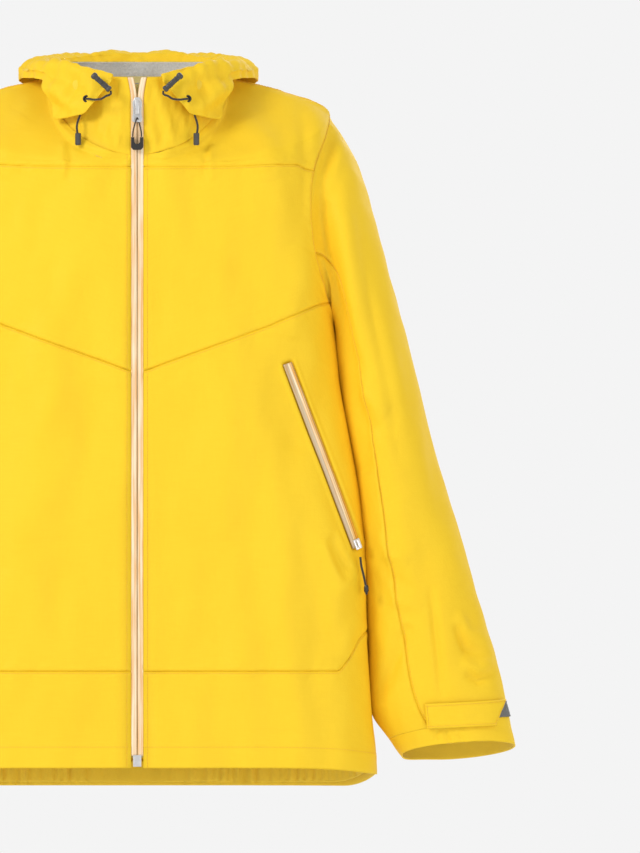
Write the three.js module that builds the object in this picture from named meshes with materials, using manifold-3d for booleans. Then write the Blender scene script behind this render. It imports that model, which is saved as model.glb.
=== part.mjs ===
// A waterproof hardshell jacket: cut-and-sewn shell panels, stand collar, laid-down hood,
// laminated front and pocket zips, cuff tabs and hood adjusters.
// Millimetres. +X is the wearer's left, the front faces -Y, +Z is up.
import * as THREE from "three";
import { mergeVertices } from "three/addons/utils/BufferGeometryUtils.js";
import Module from "manifold-3d";

const wasm = await Module();
wasm.setup();

// ---------------------------------------------------------------- driving dimensions
const CLOTH = 3; // wall of a plain fabric solid, shell and backing together
const SEAM = 0.25; // half the gap between two sewn panels
const FRONT = 106; // depth of the closed front, ahead of the side seam
const ZIP_HALF = 6.3; // half-width of the closed front zip
const ZIP_TOP = 744;
const YOKE_SEAM = 654;
const BACK_YOKE_SEAM = 600;
const HEM_SEAM = 125;
const HEM_SEAM_RISE = 40;
const UNDERARM = 485;
const SHOULDER_TIP = 706;
const ARMHOLE_HALF_DEPTH = 78;
const LEVEL_TIP = 700;
const LEVEL_NECK = 800;
const LEVEL_COLLAR = 900;
const SLEEVE_SEAM_ANGLE = THREE.MathUtils.degToRad(124);
const SLEEVE_GAP = 3; // clearance between the armhole edge and the sleeve
const CUFF_START = 0.955; // share of the sleeve's length where the cuff band begins
const HANGER_LOOP = new THREE.Vector3(0, 46, 744); // garment place of the origin

// Body sections by level: half-width, back depth, roundness, and the heights of the
// front, side and back of the loop. Above the chest the loops tilt over the shoulders.
const SECTIONS = [
  { level: 0, width: 250, back: 108, round: 3.5, front: 0, side: 0, rear: 0 },
  { level: 92, width: 247, back: 110, round: 3.6, front: 92, side: 92, rear: 92 },
  { level: 155, width: 243, back: 110, round: 3.7, front: 155, side: 155, rear: 155 },
  { level: 281, width: 238, back: 110, round: 3.8, front: 281, side: 281, rear: 281 },
  { level: 407, width: 218, back: 111, round: 3.2, front: 407, side: 407, rear: 407 },
  { level: 485, width: 207, back: 113, round: 3.2, front: 485, side: 485, rear: 485 },
  { level: 560, width: 200, back: 114, round: 3.2, front: 560, side: 560, rear: 560 },
  { level: 650, width: 197, back: 110, round: 3.0, front: 650, side: 650, rear: 650 },
  { level: 700, width: 201, back: 100, round: 2.5, front: 655, side: 706, rear: 682 },
  { level: 750, width: 150, back: 82, round: 2.2, front: 659, side: 732, rear: 716 },
  { level: 800, width: 88, back: 60, round: 2.0, front: 663, side: 748, rear: 740 },
  { level: 900, width: 82, back: 56, round: 2.0, front: 744, side: 762, rear: 764 },
];

// The stiff pocket zip holds the front straight along this line, from garage to lower end.
const POCKET_TOP = { x: 158.5, z: 441.5, y: -88 };
const POCKET_END = { x: 228, z: 258, y: -60 };
const POCKET_HOLD = 36; // how far to each side the zip flattens the cloth

// Sleeve silhouette by share of its length: outer and inner edge, half-depth and Y centre.
const SLEEVE = [
  { outer: [204, 706], inner: [209, 484], depth: 78, shift: 0 },
  { outer: [228, 659], inner: [222, 456], depth: 80, shift: 2 },
  { outer: [250, 589], inner: [232, 412], depth: 80, shift: 4 },
  { outer: [275, 500], inner: [239, 348], depth: 76, shift: 4 },
  { outer: [293, 428], inner: [246, 283], depth: 72, shift: 2 },
  { outer: [316, 336], inner: [249, 216], depth: 66, shift: -2 },
  { outer: [346, 235], inner: [254, 150], depth: 60, shift: -6 },
  { outer: [378, 130], inner: [262, 90], depth: 53, shift: -10 },
  { outer: [396, 43.6], inner: [277, 34], depth: 46, shift: -12 },
];

// Laid-down hood by angle round the neck: top edge, and reach and height of the outer fall.
const HOOD = [
  { angle: 15, top: 748, reach: 15, fall: 718 },
  { angle: 40, top: 758, reach: 20, fall: 705 },
  { angle: 65, top: 762, reach: 30, fall: 722 },
  { angle: 90, top: 765, reach: 40, fall: 753 },
  { angle: 120, top: 769, reach: 54, fall: 741 },
  { angle: 150, top: 773, reach: 68, fall: 700 },
  { angle: 180, top: 775, reach: 76, fall: 662 },
];

// ---------------------------------------------------------------- colours and finishes
const finish = (color, roughness, metalness = 0) => ({ color, roughness, metalness });
const SHELL = finish(0xfdd635, 0.6);
const SHELL_SHADE = finish(0xf0c82c, 0.6);
const LAMINATE = finish(0xf5c88c, 0.3);
const POCKET_LAMINATE = finish(0xe1a032, 0.35);
const LINING = finish(0xdcdad2, 0.9);
const INNER_FABRIC = finish(0xe8e0b0, 0.8);
const METAL = finish(0xc8c8c8, 0.3, 1);
const DARK_PLASTIC = finish(0x3c3a37, 0.5);
const GREY_PLASTIC = finish(0x77787a, 0.45);
const CORD = finish(0x2c241e, 0.8);
const LOOP_TAPE = finish(0x6e6e69, 0.95);
const ELASTIC = finish(0xd8d4c0, 0.9);

// ---------------------------------------------------------------- interpolation
const clamp01 = (value) => Math.min(1, Math.max(0, value));
const lerp = (a, b, share) => a + (b - a) * share;
const smooth = (share) => share * share * (3 - 2 * share);

/** Cubic (Catmull-Rom) value of one field of rows that are sorted by their key. */
function along(rows, key, field, at) {
  const value = (row) => field(row);
  const last = rows.length - 1;
  let i = 0;
  while (i < last - 1 && rows[i + 1][key] < at) i += 1;
  const [k0, k1] = [rows[i][key], rows[i + 1][key]];
  const share = clamp01((at - k0) / (k1 - k0));
  const slope = (j) => {
    const [a, b] = [Math.max(0, j - 1), Math.min(last, j + 1)];
    return (value(rows[b]) - value(rows[a])) / (rows[b][key] - rows[a][key]);
  };
  const run = k1 - k0;
  const [s2, s3] = [share ** 2, share ** 3];
  return (
    value(rows[i]) * (2 * s3 - 3 * s2 + 1) +
    value(rows[i + 1]) * (3 * s2 - 2 * s3) +
    slope(i) * run * (s3 - 2 * s2 + share) +
    slope(i + 1) * run * (s3 - s2)
  );
}
const sleeveRows = SLEEVE.map((row, i) => ({ ...row, share: i / (SLEEVE.length - 1) }));

// ---------------------------------------------------------------- the body's surface
/** One measure of the body's section at a level. */
const section = (name, level) => along(SECTIONS, "level", (r) => r[name], level);

/** How far the pocket zip moves the front along Y at a point. */
function pocketPull(x, z) {
  const run = [POCKET_END.x - POCKET_TOP.x, POCKET_END.z - POCKET_TOP.z];
  const length = Math.hypot(...run);
  const toPoint = [x - POCKET_TOP.x, z - POCKET_TOP.z];
  const travel = (toPoint[0] * run[0] + toPoint[1] * run[1]) / length ** 2;
  const aside = (toPoint[0] * run[1] - toPoint[1] * run[0]) / length;
  const near = clamp01(travel);
  const beyond = (travel - near) * length;
  const weight = Math.exp(-((aside ** 2 + beyond ** 2) / POCKET_HOLD ** 2));
  const [lineX, lineZ] = [POCKET_TOP.x + run[0] * near, POCKET_TOP.z + run[1] * near];
  const round = section("round", lineZ);
  const free = -FRONT * (1 - (lineX / section("width", lineZ)) ** round) ** (1 / round);
  return weight * (lerp(POCKET_TOP.y, POCKET_END.y, near) - free);
}

/** Point of the body and collar at a level and an angle: 0 is the centre front, PI the back. */
function bodyPoint(level, angle) {
  const power = 2 / section("round", level);
  const [sine, cosine] = [Math.sin(angle), Math.cos(angle)];
  const depth = cosine > 0 ? FRONT : section("back", level);
  const end = section(cosine > 0 ? "front" : "rear", level);
  const x = section("width", level) * Math.sign(sine) * Math.abs(sine) ** power;
  let y = -depth * Math.sign(cosine) * Math.abs(cosine) ** power;
  const z = lerp(section("side", level), end, Math.abs(cosine));
  if (cosine > 0 && level < 600) y += pocketPull(Math.abs(x), z) * smooth(clamp01(cosine / 0.25));
  return new THREE.Vector3(x, y, z);
}

/** Angle where the body stands at a given half-width, at a level. */
function angleAtWidth(level, x) {
  const width = section("width", level);
  const round = section("round", level);
  return Math.asin(Math.min(1, (x / width) ** (round / 2)));
}

/** Half the front-to-back width of the armhole at a level, 0 where the body is closed. */
function armholeHalf(level) {
  const height = section("side", level);
  const middle = (UNDERARM + SHOULDER_TIP) / 2;
  const reach = (SHOULDER_TIP - UNDERARM) / 2;
  const share = (height - middle) / reach;
  return level > LEVEL_TIP || Math.abs(share) >= 1 ? 0 : ARMHOLE_HALF_DEPTH * Math.sqrt(1 - share ** 2);
}

/** Angle of the armhole's edge, or of the side seam, on the front or the back. */
function edgeAngle(level, back) {
  const depth = back ? section("back", level) : FRONT;
  const round = section("round", level);
  const away = Math.acos((armholeHalf(level) / depth) ** (round / 2));
  return back ? Math.PI - away : away;
}

/** Point of the armhole's edge; 0 is the shoulder tip, positive angles run over the front. */
function armholePoint(angle) {
  const height = (UNDERARM + SHOULDER_TIP) / 2 + ((SHOULDER_TIP - UNDERARM) / 2) * Math.cos(angle);
  let level = height;
  if (height > 650) {
    let [low, high] = [650, LEVEL_TIP];
    for (let step = 0; step < 24; step += 1) {
      level = (low + high) / 2;
      if (section("side", level) < height) low = level;
      else high = level;
    }
  }
  return bodyPoint(level, edgeAngle(level, Math.sin(angle) < 0));
}

/** Point of the left sleeve: share of its length, and angle from its outer edge. */
function sleevePoint(share, angle) {
  const row = (field) => along(sleeveRows, "share", field, share);
  const outer = new THREE.Vector3(row((r) => r.outer[0]), 0, row((r) => r.outer[1]));
  const inner = new THREE.Vector3(row((r) => r.inner[0]), 0, row((r) => r.inner[1]));
  const half = outer.clone().sub(inner).multiplyScalar(0.5 * Math.cos(angle));
  const point = outer.add(inner).multiplyScalar(0.5).add(half);
  point.y = row((r) => r.shift) - row((r) => r.depth) * Math.sin(angle);
  const fade = clamp01(1 - share / 0.16) ** 2;
  if (fade > 0) {
    const start = armholePoint(angle).add(new THREE.Vector3(SLEEVE_GAP, 0, 0));
    point.add(start.sub(sleevePoint0(angle)).multiplyScalar(fade));
  }
  return point;
}

function sleevePoint0(angle) {
  const [outer, inner] = [SLEEVE[0].outer, SLEEVE[0].inner];
  const tilt = Math.cos(angle) / 2;
  const x = (outer[0] + inner[0]) / 2 + (outer[0] - inner[0]) * tilt;
  const z = (outer[1] + inner[1]) / 2 + (outer[1] - inner[1]) * tilt;
  return new THREE.Vector3(x, SLEEVE[0].shift - SLEEVE[0].depth * Math.sin(angle), z);
}

// ---------------------------------------------------------------- solids
const group = new THREE.Group();
group.position.copy(HANGER_LOOP).negate();

function addMesh(name, geometry, look) {
  const mesh = new THREE.Mesh(geometry, new THREE.MeshStandardMaterial(look));
  mesh.name = name;
  group.add(mesh);
  return mesh;
}

/** Mirrors a closed geometry from the wearer's left to the right. */
function mirrored(geometry) {
  const copy = geometry.clone();
  copy.scale(-1, 1, 1);
  const index = copy.index.array;
  for (let i = 0; i < index.length; i += 3) [index[i], index[i + 1]] = [index[i + 1], index[i]];
  return copy;
}

function addPair(name, geometry, look) {
  const closed = welded(geometry);
  addMesh(`${name}_left`, closed, look);
  addMesh(`${name}_right`, mirrored(closed), look);
}

function welded(geometry) {
  const bare = geometry.clone();
  bare.deleteAttribute("normal");
  bare.deleteAttribute("uv");
  return mergeVertices(bare, 1e-4);
}

/** A sheet with a wall: bends a box onto a surface, from one depth below it to another. */
function panel(surface, columns, rows, outer = 0, inner = CLOTH) {
  const box = new THREE.BoxGeometry(1, 1, 1, columns, rows, 1);
  const place = box.attributes.position;
  const step = 5e-3;
  for (let i = 0; i < place.count; i += 1) {
    const [u, v] = [place.getX(i) + 0.5, place.getY(i) + 0.5];
    const du = surface(u + step, v).sub(surface(u - step, v));
    const dv = surface(u, v + step).sub(surface(u, v - step));
    const outward = du.cross(dv).normalize();
    const depth = place.getZ(i) > 0 ? outer : inner;
    const point = surface(u, v).addScaledVector(outward, -depth);
    place.setXYZ(i, point.x, point.y, point.z);
  }
  return box;
}

/** A body panel between two levels and two angles, each a function of the other way. */
function bodyPanel(from, to, low, high, columns, rows, outer, inner) {
  return panel((u, v) => {
    const level = lerp(low(u), high(u), v);
    return bodyPoint(level, lerp(from(level), to(level), u));
  }, columns, rows, outer, inner);
}

function solidOf(geometry) {
  const bare = welded(geometry);
  const vertProperties = new Float32Array(bare.attributes.position.array);
  const triVerts = new Uint32Array(bare.index.array);
  return new wasm.Manifold(new wasm.Mesh({ numProp: 3, vertProperties, triVerts }));
}

function geometryOf(solid) {
  const { vertProperties, triVerts } = solid.getMesh();
  const geometry = new THREE.BufferGeometry();
  geometry.setAttribute("position", new THREE.BufferAttribute(vertProperties, 3));
  geometry.setIndex(new THREE.BufferAttribute(triVerts, 1));
  return geometry;
}

const boxAt = (x, y, z, width, depth, height) =>
  new THREE.BoxGeometry(width, depth, height).translate(x, y, z);

/** A round cord along chosen points. */
function cordAlong(points, diameter, steps, sides = 8) {
  const path = new THREE.CatmullRomCurve3(points.map((p) => new THREE.Vector3(...p)));
  const ring = new THREE.Shape();
  for (let i = 0; i < sides; i += 1) {
    const turn = (i / sides) * 2 * Math.PI;
    const [x, y] = [(Math.cos(turn) * diameter) / 2, (Math.sin(turn) * diameter) / 2];
    if (i === 0) ring.moveTo(x, y);
    else ring.lineTo(x, y);
  }
  return new THREE.ExtrudeGeometry(ring, { steps, extrudePath: path, bevelEnabled: false });
}

// ---------------------------------------------------------------- body panels
const zipEdge = (level) => angleAtWidth(level, ZIP_HALF + SEAM);
const sideFront = (level) => edgeAngle(level, false) - SEAM / 200;
const sideBack = (level) => edgeAngle(level, true) + SEAM / 200;
const frontHem = (u) => lerp(22, 14, Math.sin((u * Math.PI) / 2) ** 4);
const backHem = (u) => lerp(0, 14, smooth(clamp01((Math.abs(2 * u - 1) - 0.55) / 0.45)));
const frontHemSeam = (u) => HEM_SEAM + HEM_SEAM_RISE * smooth(clamp01((u - 0.72) / 0.28));
const backHemSeam = (u) =>
  HEM_SEAM + HEM_SEAM_RISE * smooth(clamp01((Math.abs(2 * u - 1) - 0.72) / 0.28));
const chestSeam = (u) => lerp(437, 508, u);
const offset = (edge, by) => (u) => edge(u) + by;
const fixed = (level) => () => level;
const backStart = sideBack;
const backEnd = (level) => 2 * Math.PI - sideBack(level);

const FRONT_COLUMNS = 14;
const BACK_COLUMNS = 16;
const SHOULDER_ROWS = 5;

const frontPanel = (name, low, high, rows, look) =>
  addPair(name, bodyPanel(zipEdge, sideFront, low, high, FRONT_COLUMNS, rows), look);
const backPanel = (name, low, high, rows, look) =>
  addMesh(name, welded(bodyPanel(backStart, backEnd, low, high, BACK_COLUMNS, rows)), look);

frontPanel("front_hem", frontHem, offset(frontHemSeam, -SEAM), 3, SHELL_SHADE);
frontPanel("front_chest", offset(chestSeam, SEAM), fixed(YOKE_SEAM - SEAM), 7, SHELL);
backPanel("back_hem", backHem, offset(backHemSeam, -SEAM), 3, SHELL_SHADE);
backPanel("back_panel", offset(backHemSeam, SEAM), fixed(BACK_YOKE_SEAM - SEAM), 11, SHELL);

/** A yoke: the rows above the shoulder tip match on both sides of the shoulder seam. */
function yoke(from, to, low, columns, rows) {
  const shoulderShare = SHOULDER_ROWS / rows;
  return panel((u, v) => {
    const rise = v - (1 - shoulderShare);
    const level = rise < 0
      ? lerp(low, LEVEL_TIP, v / (1 - shoulderShare))
      : lerp(LEVEL_TIP, LEVEL_NECK - SEAM, rise / shoulderShare);
    return bodyPoint(level, lerp(from(level), to(level), u));
  }, columns, rows);
}
addPair("front_yoke", yoke(zipEdge, sideFront, YOKE_SEAM + SEAM, FRONT_COLUMNS, 8), SHELL);
addMesh("back_yoke", welded(yoke(backStart, backEnd, BACK_YOKE_SEAM + SEAM, BACK_COLUMNS, 9)), SHELL);

const ELASTIC_REACH = 2.1; // angle where the back hem's elastic starts, from the centre front
const elastic = bodyPanel(
  fixed(ELASTIC_REACH), fixed(2 * Math.PI - ELASTIC_REACH), fixed(12), fixed(30), 16, 1, 4.6, 6,
);
addMesh("hem_elastic", welded(elastic), ELASTIC);

// ---------------------------------------------------------------- sleeves and cuffs
function sleevePanel(from, to, low, high, columns, rows, outer = 0, inner = CLOTH) {
  const margin = SEAM / 60;
  return panel(
    (u, v) => sleevePoint(lerp(high, low, v), lerp(from - margin, to + margin, u)),
    columns, rows, outer, inner,
  );
}
const aroundTop = [SLEEVE_SEAM_ANGLE, -SLEEVE_SEAM_ANGLE];
const underEnd = SLEEVE_SEAM_ANGLE - 2 * Math.PI;
addPair("sleeve_top", sleevePanel(...aroundTop, 0, CUFF_START - 5e-4, 11, 15), SHELL);
addPair("sleeve_under", sleevePanel(-SLEEVE_SEAM_ANGLE, underEnd, 0, CUFF_START - 5e-4, 5, 15), SHELL);
addPair(
  "cuff_band",
  sleevePanel(Math.PI / 2 + 1.2, -Math.PI * 1.5 + 1.23, CUFF_START + 5e-4, 1, 18, 1),
  SHELL_SHADE,
);

// Cuff tabs: a strap sewn at its inner end, closing on a strip of loop tape.
const TAB_SHARES = [0.915, 0.95];
const TAB_ANGLES = [2.02, 0.6];
const PAD_ANGLES = [0.98, 0.1];
const tabSheet = (angles, shares, columns, outer, inner) =>
  panel(
    (u, v) => sleevePoint(lerp(shares[1], shares[0], v), lerp(angles[0], angles[1], u)),
    columns,
    2,
    -outer,
    -inner,
  );
addPair("cuff_tab", tabSheet(TAB_ANGLES, TAB_SHARES, 8, 3.4, 1.4), SHELL);
addPair("cuff_loop_pad", tabSheet(PAD_ANGLES, [0.917, 0.948], 6, 1.1, 0.4), LOOP_TAPE);

// ---------------------------------------------------------------- collar and hood
const collarStart = fixed(0.08);
const collarEnd = fixed(Math.PI - 0.004);
addPair(
  "collar",
  bodyPanel(collarStart, collarEnd, fixed(LEVEL_NECK + 4), fixed(LEVEL_COLLAR), 12, 4),
  SHELL,
);
const LINING_GAP = 0.3;
const liningLow = fixed(LEVEL_NECK + 12);
const liningHigh = fixed(LEVEL_COLLAR - 3);
addMesh(
  "collar_lining",
  welded(bodyPanel(fixed(LINING_GAP), fixed(2 * Math.PI - LINING_GAP), liningLow, liningHigh, 24, 4, 4.2, 6)),
  LINING,
);

/** Point of the laid-down hood: angle round the neck, and share from its base over its top. */
function hoodPoint(angle, share) {
  const degrees = THREE.MathUtils.radToDeg(Math.min(angle, 2 * Math.PI - angle));
  const row = (name) => along(HOOD, "angle", (r) => r[name], degrees);
  const neck = bodyPoint(LEVEL_COLLAR, angle);
  const base = bodyPoint(LEVEL_NECK, angle).z + 14;
  const radial = new THREE.Vector3(Math.sin(angle) * 1.1, -Math.cos(angle), 0).normalize();
  const [reach, top] = [row("reach"), row("top")];
  const crest = reach * 0.45;
  let away;
  let height;
  if (share < 0.35) {
    const rise = share / 0.35;
    away = 9 + (crest - 9) * 0.35 * rise ** 2;
    height = lerp(base, top - 5, rise);
  } else {
    const turn = (share - 0.35) / 0.65;
    const sweep = smooth(clamp01(turn / 0.55));
    away = lerp(9 + (crest - 9) * 0.35, reach, sweep);
    const drop = clamp01((turn - 0.2) / 0.8) ** 1.2;
    const arch = 5 * Math.sin(Math.PI * clamp01(turn / 0.45));
    height = lerp(top - 5, row("fall"), drop) + arch;
  }
  return new THREE.Vector3(neck.x, neck.y, height).addScaledVector(radial, away);
}
const hoodSheet = (from, to, columns, outer, inner) =>
  panel((u, v) => hoodPoint(lerp(from, to, u), v), columns, 9, outer, inner);
const HOOD_FRONT = 0.27;
const HOOD_SIDE_SEAM = 2.25;
addPair("hood_side", hoodSheet(HOOD_FRONT, HOOD_SIDE_SEAM, 12, 0, 2.5), SHELL);

const hoodCentre = hoodSheet(HOOD_SIDE_SEAM + 0.004, 2 * Math.PI - HOOD_SIDE_SEAM - 0.004, 12, 0, 2.5);
addMesh("hood_centre", welded(hoodCentre), SHELL);

// A strip of tape across the inside of the back neck, open between its two sewn ends.
const LOOP_WIDTH = 58;
const LOOP_TALL = 7;
const loopOutline = new THREE.Shape();
const loopHalf = LOOP_WIDTH / 2;
const loopCorners = [
  [-loopHalf, 0], [loopHalf, 0], [loopHalf, 9], [loopHalf - 4, 9.8], [loopHalf - 4, 1.6],
  [4 - loopHalf, 1.6], [4 - loopHalf, 9.8], [-loopHalf, 9],
];
loopOutline.setFromPoints(loopCorners.map(([x, y]) => new THREE.Vector2(x, y)));
const loopGeometry = new THREE.ExtrudeGeometry(loopOutline, { depth: LOOP_TALL, bevelEnabled: false });
loopGeometry.translate(0, 37, HANGER_LOOP.z - LOOP_TALL / 2);
addMesh("hanger_loop", welded(loopGeometry), INNER_FABRIC);

// ---------------------------------------------------------------- front zip
const ZIP_FACE = -FRONT; // outer face of the closed zip tapes
const tape = boxAt(0.35 + 5.6 / 2, ZIP_FACE + 0.8, (ZIP_TOP + 36) / 2, 5.6, 1.6, ZIP_TOP - 36);
addPair("zip_tape", tape, LAMINATE);
addMesh("zip_box", welded(boxAt(0, ZIP_FACE + 0.4, 29.6, 8.6, 3.6, 12)), METAL);
addMesh("storm_flap", welded(boxAt(0, ZIP_FACE + 6.8, 385, 27, 1.6, 706)), INNER_FABRIC);

const PLATE_BACK = ZIP_FACE - 0.4;
const PLATE_FRONT = PLATE_BACK - 2;
const BRIDGE_FRONT = PLATE_FRONT - 4.9;
const sliderPieces = [
  boxAt(0, (PLATE_BACK + PLATE_FRONT) / 2, 710.5, 10.8, 2, 25),
  boxAt(0, (PLATE_FRONT + BRIDGE_FRONT) / 2 + 0.2, 718.5, 4.5, 5.3, 3),
  boxAt(0, (PLATE_FRONT + BRIDGE_FRONT) / 2 + 0.2, 707, 4.5, 5.3, 2),
  boxAt(0, BRIDGE_FRONT + 0.6, 713, 4.5, 1.2, 14),
];
const slider = sliderPieces.map(solidOf).reduce((a, b) => a.add(b));
addMesh("zip_slider", geometryOf(slider), METAL);

const LINK_MIDDLE = PLATE_FRONT - 2.5;
const frame = new THREE.Shape();
const outlineOf = (rows) => rows.map(([x, y]) => new THREE.Vector2(x, y));
frame.setFromPoints(outlineOf([[-4.4, 697], [4.4, 697], [4.4, 712.2], [-4.4, 712.2]]));
const eye = new THREE.Path();
eye.setFromPoints(outlineOf([[-2.9, 699.5], [2.9, 699.5], [2.9, 710.7], [-2.9, 710.7]]));
frame.holes.push(eye);
const upright = (shape, depth, middle) => {
  const flat = new THREE.ExtrudeGeometry(shape, { depth, bevelEnabled: false });
  return flat.rotateX(Math.PI / 2).translate(0, middle + depth / 2, 0);
};
addMesh("zip_link", welded(upright(frame, 1.2, LINK_MIDDLE)), METAL);

const PULL_CORD = 1.5;
const pullRoute = [
  [-4.6, LINK_MIDDLE - 0.6, 681.6], [-4.3, LINK_MIDDLE - 1.2, 687], [-2.6, LINK_MIDDLE - 1.8, 694],
  [-1.0, LINK_MIDDLE - 1.75, 699.2], [0, LINK_MIDDLE, 701.6], [1.0, LINK_MIDDLE + 1.6, 699.2],
  [2.6, LINK_MIDDLE + 1.6, 694], [4.3, LINK_MIDDLE + 0.6, 687], [4.6, LINK_MIDDLE - 0.4, 681.6],
];
addMesh("zip_pull_cord", welded(cordAlong(pullRoute, PULL_CORD, 18)), CORD);
const gripOutline = new THREE.Shape();
const gripCorners = [
  [-6.3, 681.2], [-6.3, 670.5], [-4, 668], [4, 668], [6.3, 670.5], [6.3, 681.2], [3, 681.2],
  [3, 676], [1.5, 674.2], [-1.5, 674.2], [-3, 676], [-3, 681.2],
];
gripOutline.setFromPoints(gripCorners.map(([x, y]) => new THREE.Vector2(x, y)));
addMesh("zip_grip", welded(upright(gripOutline, 4, LINK_MIDDLE - 0.5)), DARK_PLASTIC);

// ---------------------------------------------------------------- pockets
const pocketAxis = new THREE.Vector3(
  POCKET_TOP.x - POCKET_END.x, POCKET_TOP.y - POCKET_END.y, POCKET_TOP.z - POCKET_END.z,
).normalize();
/** Point of the front along the pocket line, at a share from its lower end, set aside. */
function pocketPoint(share, aside) {
  const z = lerp(POCKET_END.z, POCKET_TOP.z, share) + aside * 0.35;
  const x = lerp(POCKET_END.x, POCKET_TOP.x, share) + aside * 0.94;
  return bodyPoint(z, angleAtWidth(z, x));
}
/** A strip set along the pocket line: its half-width, how far it runs on, and its depths. */
const pocketStrip = (half, spare, outer, inner) => panel(
  (u, v) => pocketPoint(lerp(-0.03 - spare, 1.02 + spare, v), lerp(-half, half, u)),
  2, 14, outer, inner,
);
addPair("pocket_zip", pocketStrip(4.7, 0, -0.6, 1), POCKET_LAMINATE);
const lowerSheet = bodyPanel(
  zipEdge, sideFront, offset(frontHemSeam, SEAM), offset(chestSeam, -SEAM), FRONT_COLUMNS, 14,
);
const pocketSlot = pocketStrip(5.1, 0.003, -8, 9);
addPair("front_lower", geometryOf(solidOf(lowerSheet).subtract(solidOf(pocketSlot))), SHELL);
const pocketBag = panel(
  (u, v) => {
    const z = lerp(235, 432, v);
    return bodyPoint(z, angleAtWidth(z, lerp(118, 196, u) + (1 - v) * 18));
  }, 5, 6, 4, 5.6,
);
addPair("pocket_bag", pocketBag, INNER_FABRIC);

// Pocket sliders run straight along the held line; their pulls hang from the lower end.
const pocketFrame = new THREE.Object3D();
const pocketOut = new THREE.Vector3(0.47, -0.88, 0).projectOnPlane(pocketAxis).normalize();
const pocketSide = new THREE.Vector3().crossVectors(pocketOut, pocketAxis).negate();
pocketFrame.matrix.makeBasis(pocketSide, pocketAxis, pocketOut);
const SLIDER_SHARE = -0.02; // where the closed pocket's slider stands along the zip
const sliderPlace = pocketPoint(SLIDER_SHARE, 0).addScaledVector(pocketOut, 5.8);
const onPocket = (geometry) =>
  geometry.applyMatrix4(pocketFrame.matrix).translate(...sliderPlace.toArray());
const pocketSliderSolid = [
  boxAt(0, 0, 0, 9, 18, 2),
  boxAt(0, 6.5, 2.6, 3.6, 3, 4.4),
  boxAt(0, -4.5, 2.6, 3.6, 2, 4.4),
  boxAt(0, 1, 4.4, 3.6, 13, 1.2),
].map(solidOf).reduce((a, b) => a.add(b));
addPair("pocket_slider", onPocket(geometryOf(pocketSliderSolid)), METAL);
const pullTop = sliderPlace.clone().add(new THREE.Vector3(1.2, -2.6, -11.4));
const pullPoint = (x, y, z) => [pullTop.x + x, pullTop.y + y, pullTop.z + z];
const pocketPullRoute = [
  pullPoint(0, 0, 0), pullPoint(1, -1.6, -9), pullPoint(3.4, -2, -19), pullPoint(5.4, -1.6, -29),
];
addPair("pocket_pull_cord", cordAlong(pocketPullRoute, 2.4, 8), CORD);
const knotProfile = [[0, -4.5], [1.7, -4.2], [2.6, -2], [2.6, 1.6], [1.8, 3.8], [0, 4.2]];
const lathe = (profile, sides) =>
  new THREE.LatheGeometry(profile.map(([x, y]) => new THREE.Vector2(x, y)), sides).rotateX(Math.PI / 2);
const knot = lathe(knotProfile, 10).translate(...pullPoint(6.2, -1.4, -34));
addPair("pocket_pull_end", knot, DARK_PLASTIC);

// ---------------------------------------------------------------- hood adjusters
const LOCK_TURN = THREE.MathUtils.degToRad(42);
const hoodFront = (x, z, lift) => {
  const hit = nearestHood(x, z);
  return new THREE.Vector3(x, hit.y - lift, z);
};
/** Point of the hood's outer fall in front of a place on the front view. */
function nearestHood(x, z) {
  let best = { gap: Infinity };
  for (let i = 0; i <= 60; i += 1) {
    for (let j = 20; j <= 60; j += 1) {
      const point = hoodPoint(lerp(HOOD_FRONT, 1.3, i / 60), j / 60);
      const gap = Math.hypot(point.x - x, point.z - z);
      if (gap < best.gap) best = { gap, y: point.y };
    }
  }
  return best;
}
const LOCK_PLACE = hoodFront(37.5, 738.5, 10.5);
const lockBody = solidOf(boxAt(0, 0, 0, 25, 6, 6.5))
  .subtract(solidOf(new THREE.CylinderGeometry(2.3, 2.3, 5, 20).translate(1.5, -1.5, 0)));
const turned = (geometry) => geometry.rotateY(-LOCK_TURN).translate(...LOCK_PLACE.toArray());
addPair("hood_cord_lock", turned(geometryOf(lockBody)), GREY_PLASTIC);
const lockButton = new THREE.CylinderGeometry(1.95, 1.95, 3.4, 16).translate(1.5, -3.1, 0);
addPair("hood_lock_button", turned(lockButton), GREY_PLASTIC);

const EYELET_PLACE = hoodFront(53, 721.4, 5.4);
const eyeletProfile = [
  [1.7, -0.9], [3.4, -0.9], [3.9, -0.2], [3.9, 0.3], [3.4, 0.9], [1.7, 0.9], [1.7, -0.9],
];
const eyelet = lathe(eyeletProfile, 20).rotateX(Math.PI / 2).translate(...EYELET_PLACE.toArray());
addPair("hood_eyelet", eyelet, DARK_PLASTIC);

const HOOD_CORD = 2.6;
const LOCK_REACH = 13.6;
const lockWay = new THREE.Vector3(-Math.cos(LOCK_TURN), 0, -Math.sin(LOCK_TURN));
const lockEnd = lockWay.multiplyScalar(LOCK_REACH).add(LOCK_PLACE);
const hoodCordRoute = [
  [lockEnd.x, lockEnd.y, lockEnd.z], [lockEnd.x - 0.2, lockEnd.y - 0.6, lockEnd.z - 3.4],
  [31.5, LOCK_PLACE.y - 1.4, 724.5], [38, LOCK_PLACE.y - 1, 720.8],
  [46, EYELET_PLACE.y - 5, 720.4], [51.5, EYELET_PLACE.y - 3, 721.2],
];
addPair("hood_cord", cordAlong(hoodCordRoute, HOOD_CORD, 10), CORD);
const TAIL_Y = hoodFront(60, 706, 0).y + 1;
const tailRoute = [
  [60.5, TAIL_Y, 701.5], [62.6, TAIL_Y - 1.2, 697], [63.4, TAIL_Y - 1.8, 692], [62.6, TAIL_Y - 2, 686.4],
];
addPair("hood_cord_tail", cordAlong(tailRoute, HOOD_CORD, 5), CORD);
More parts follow.
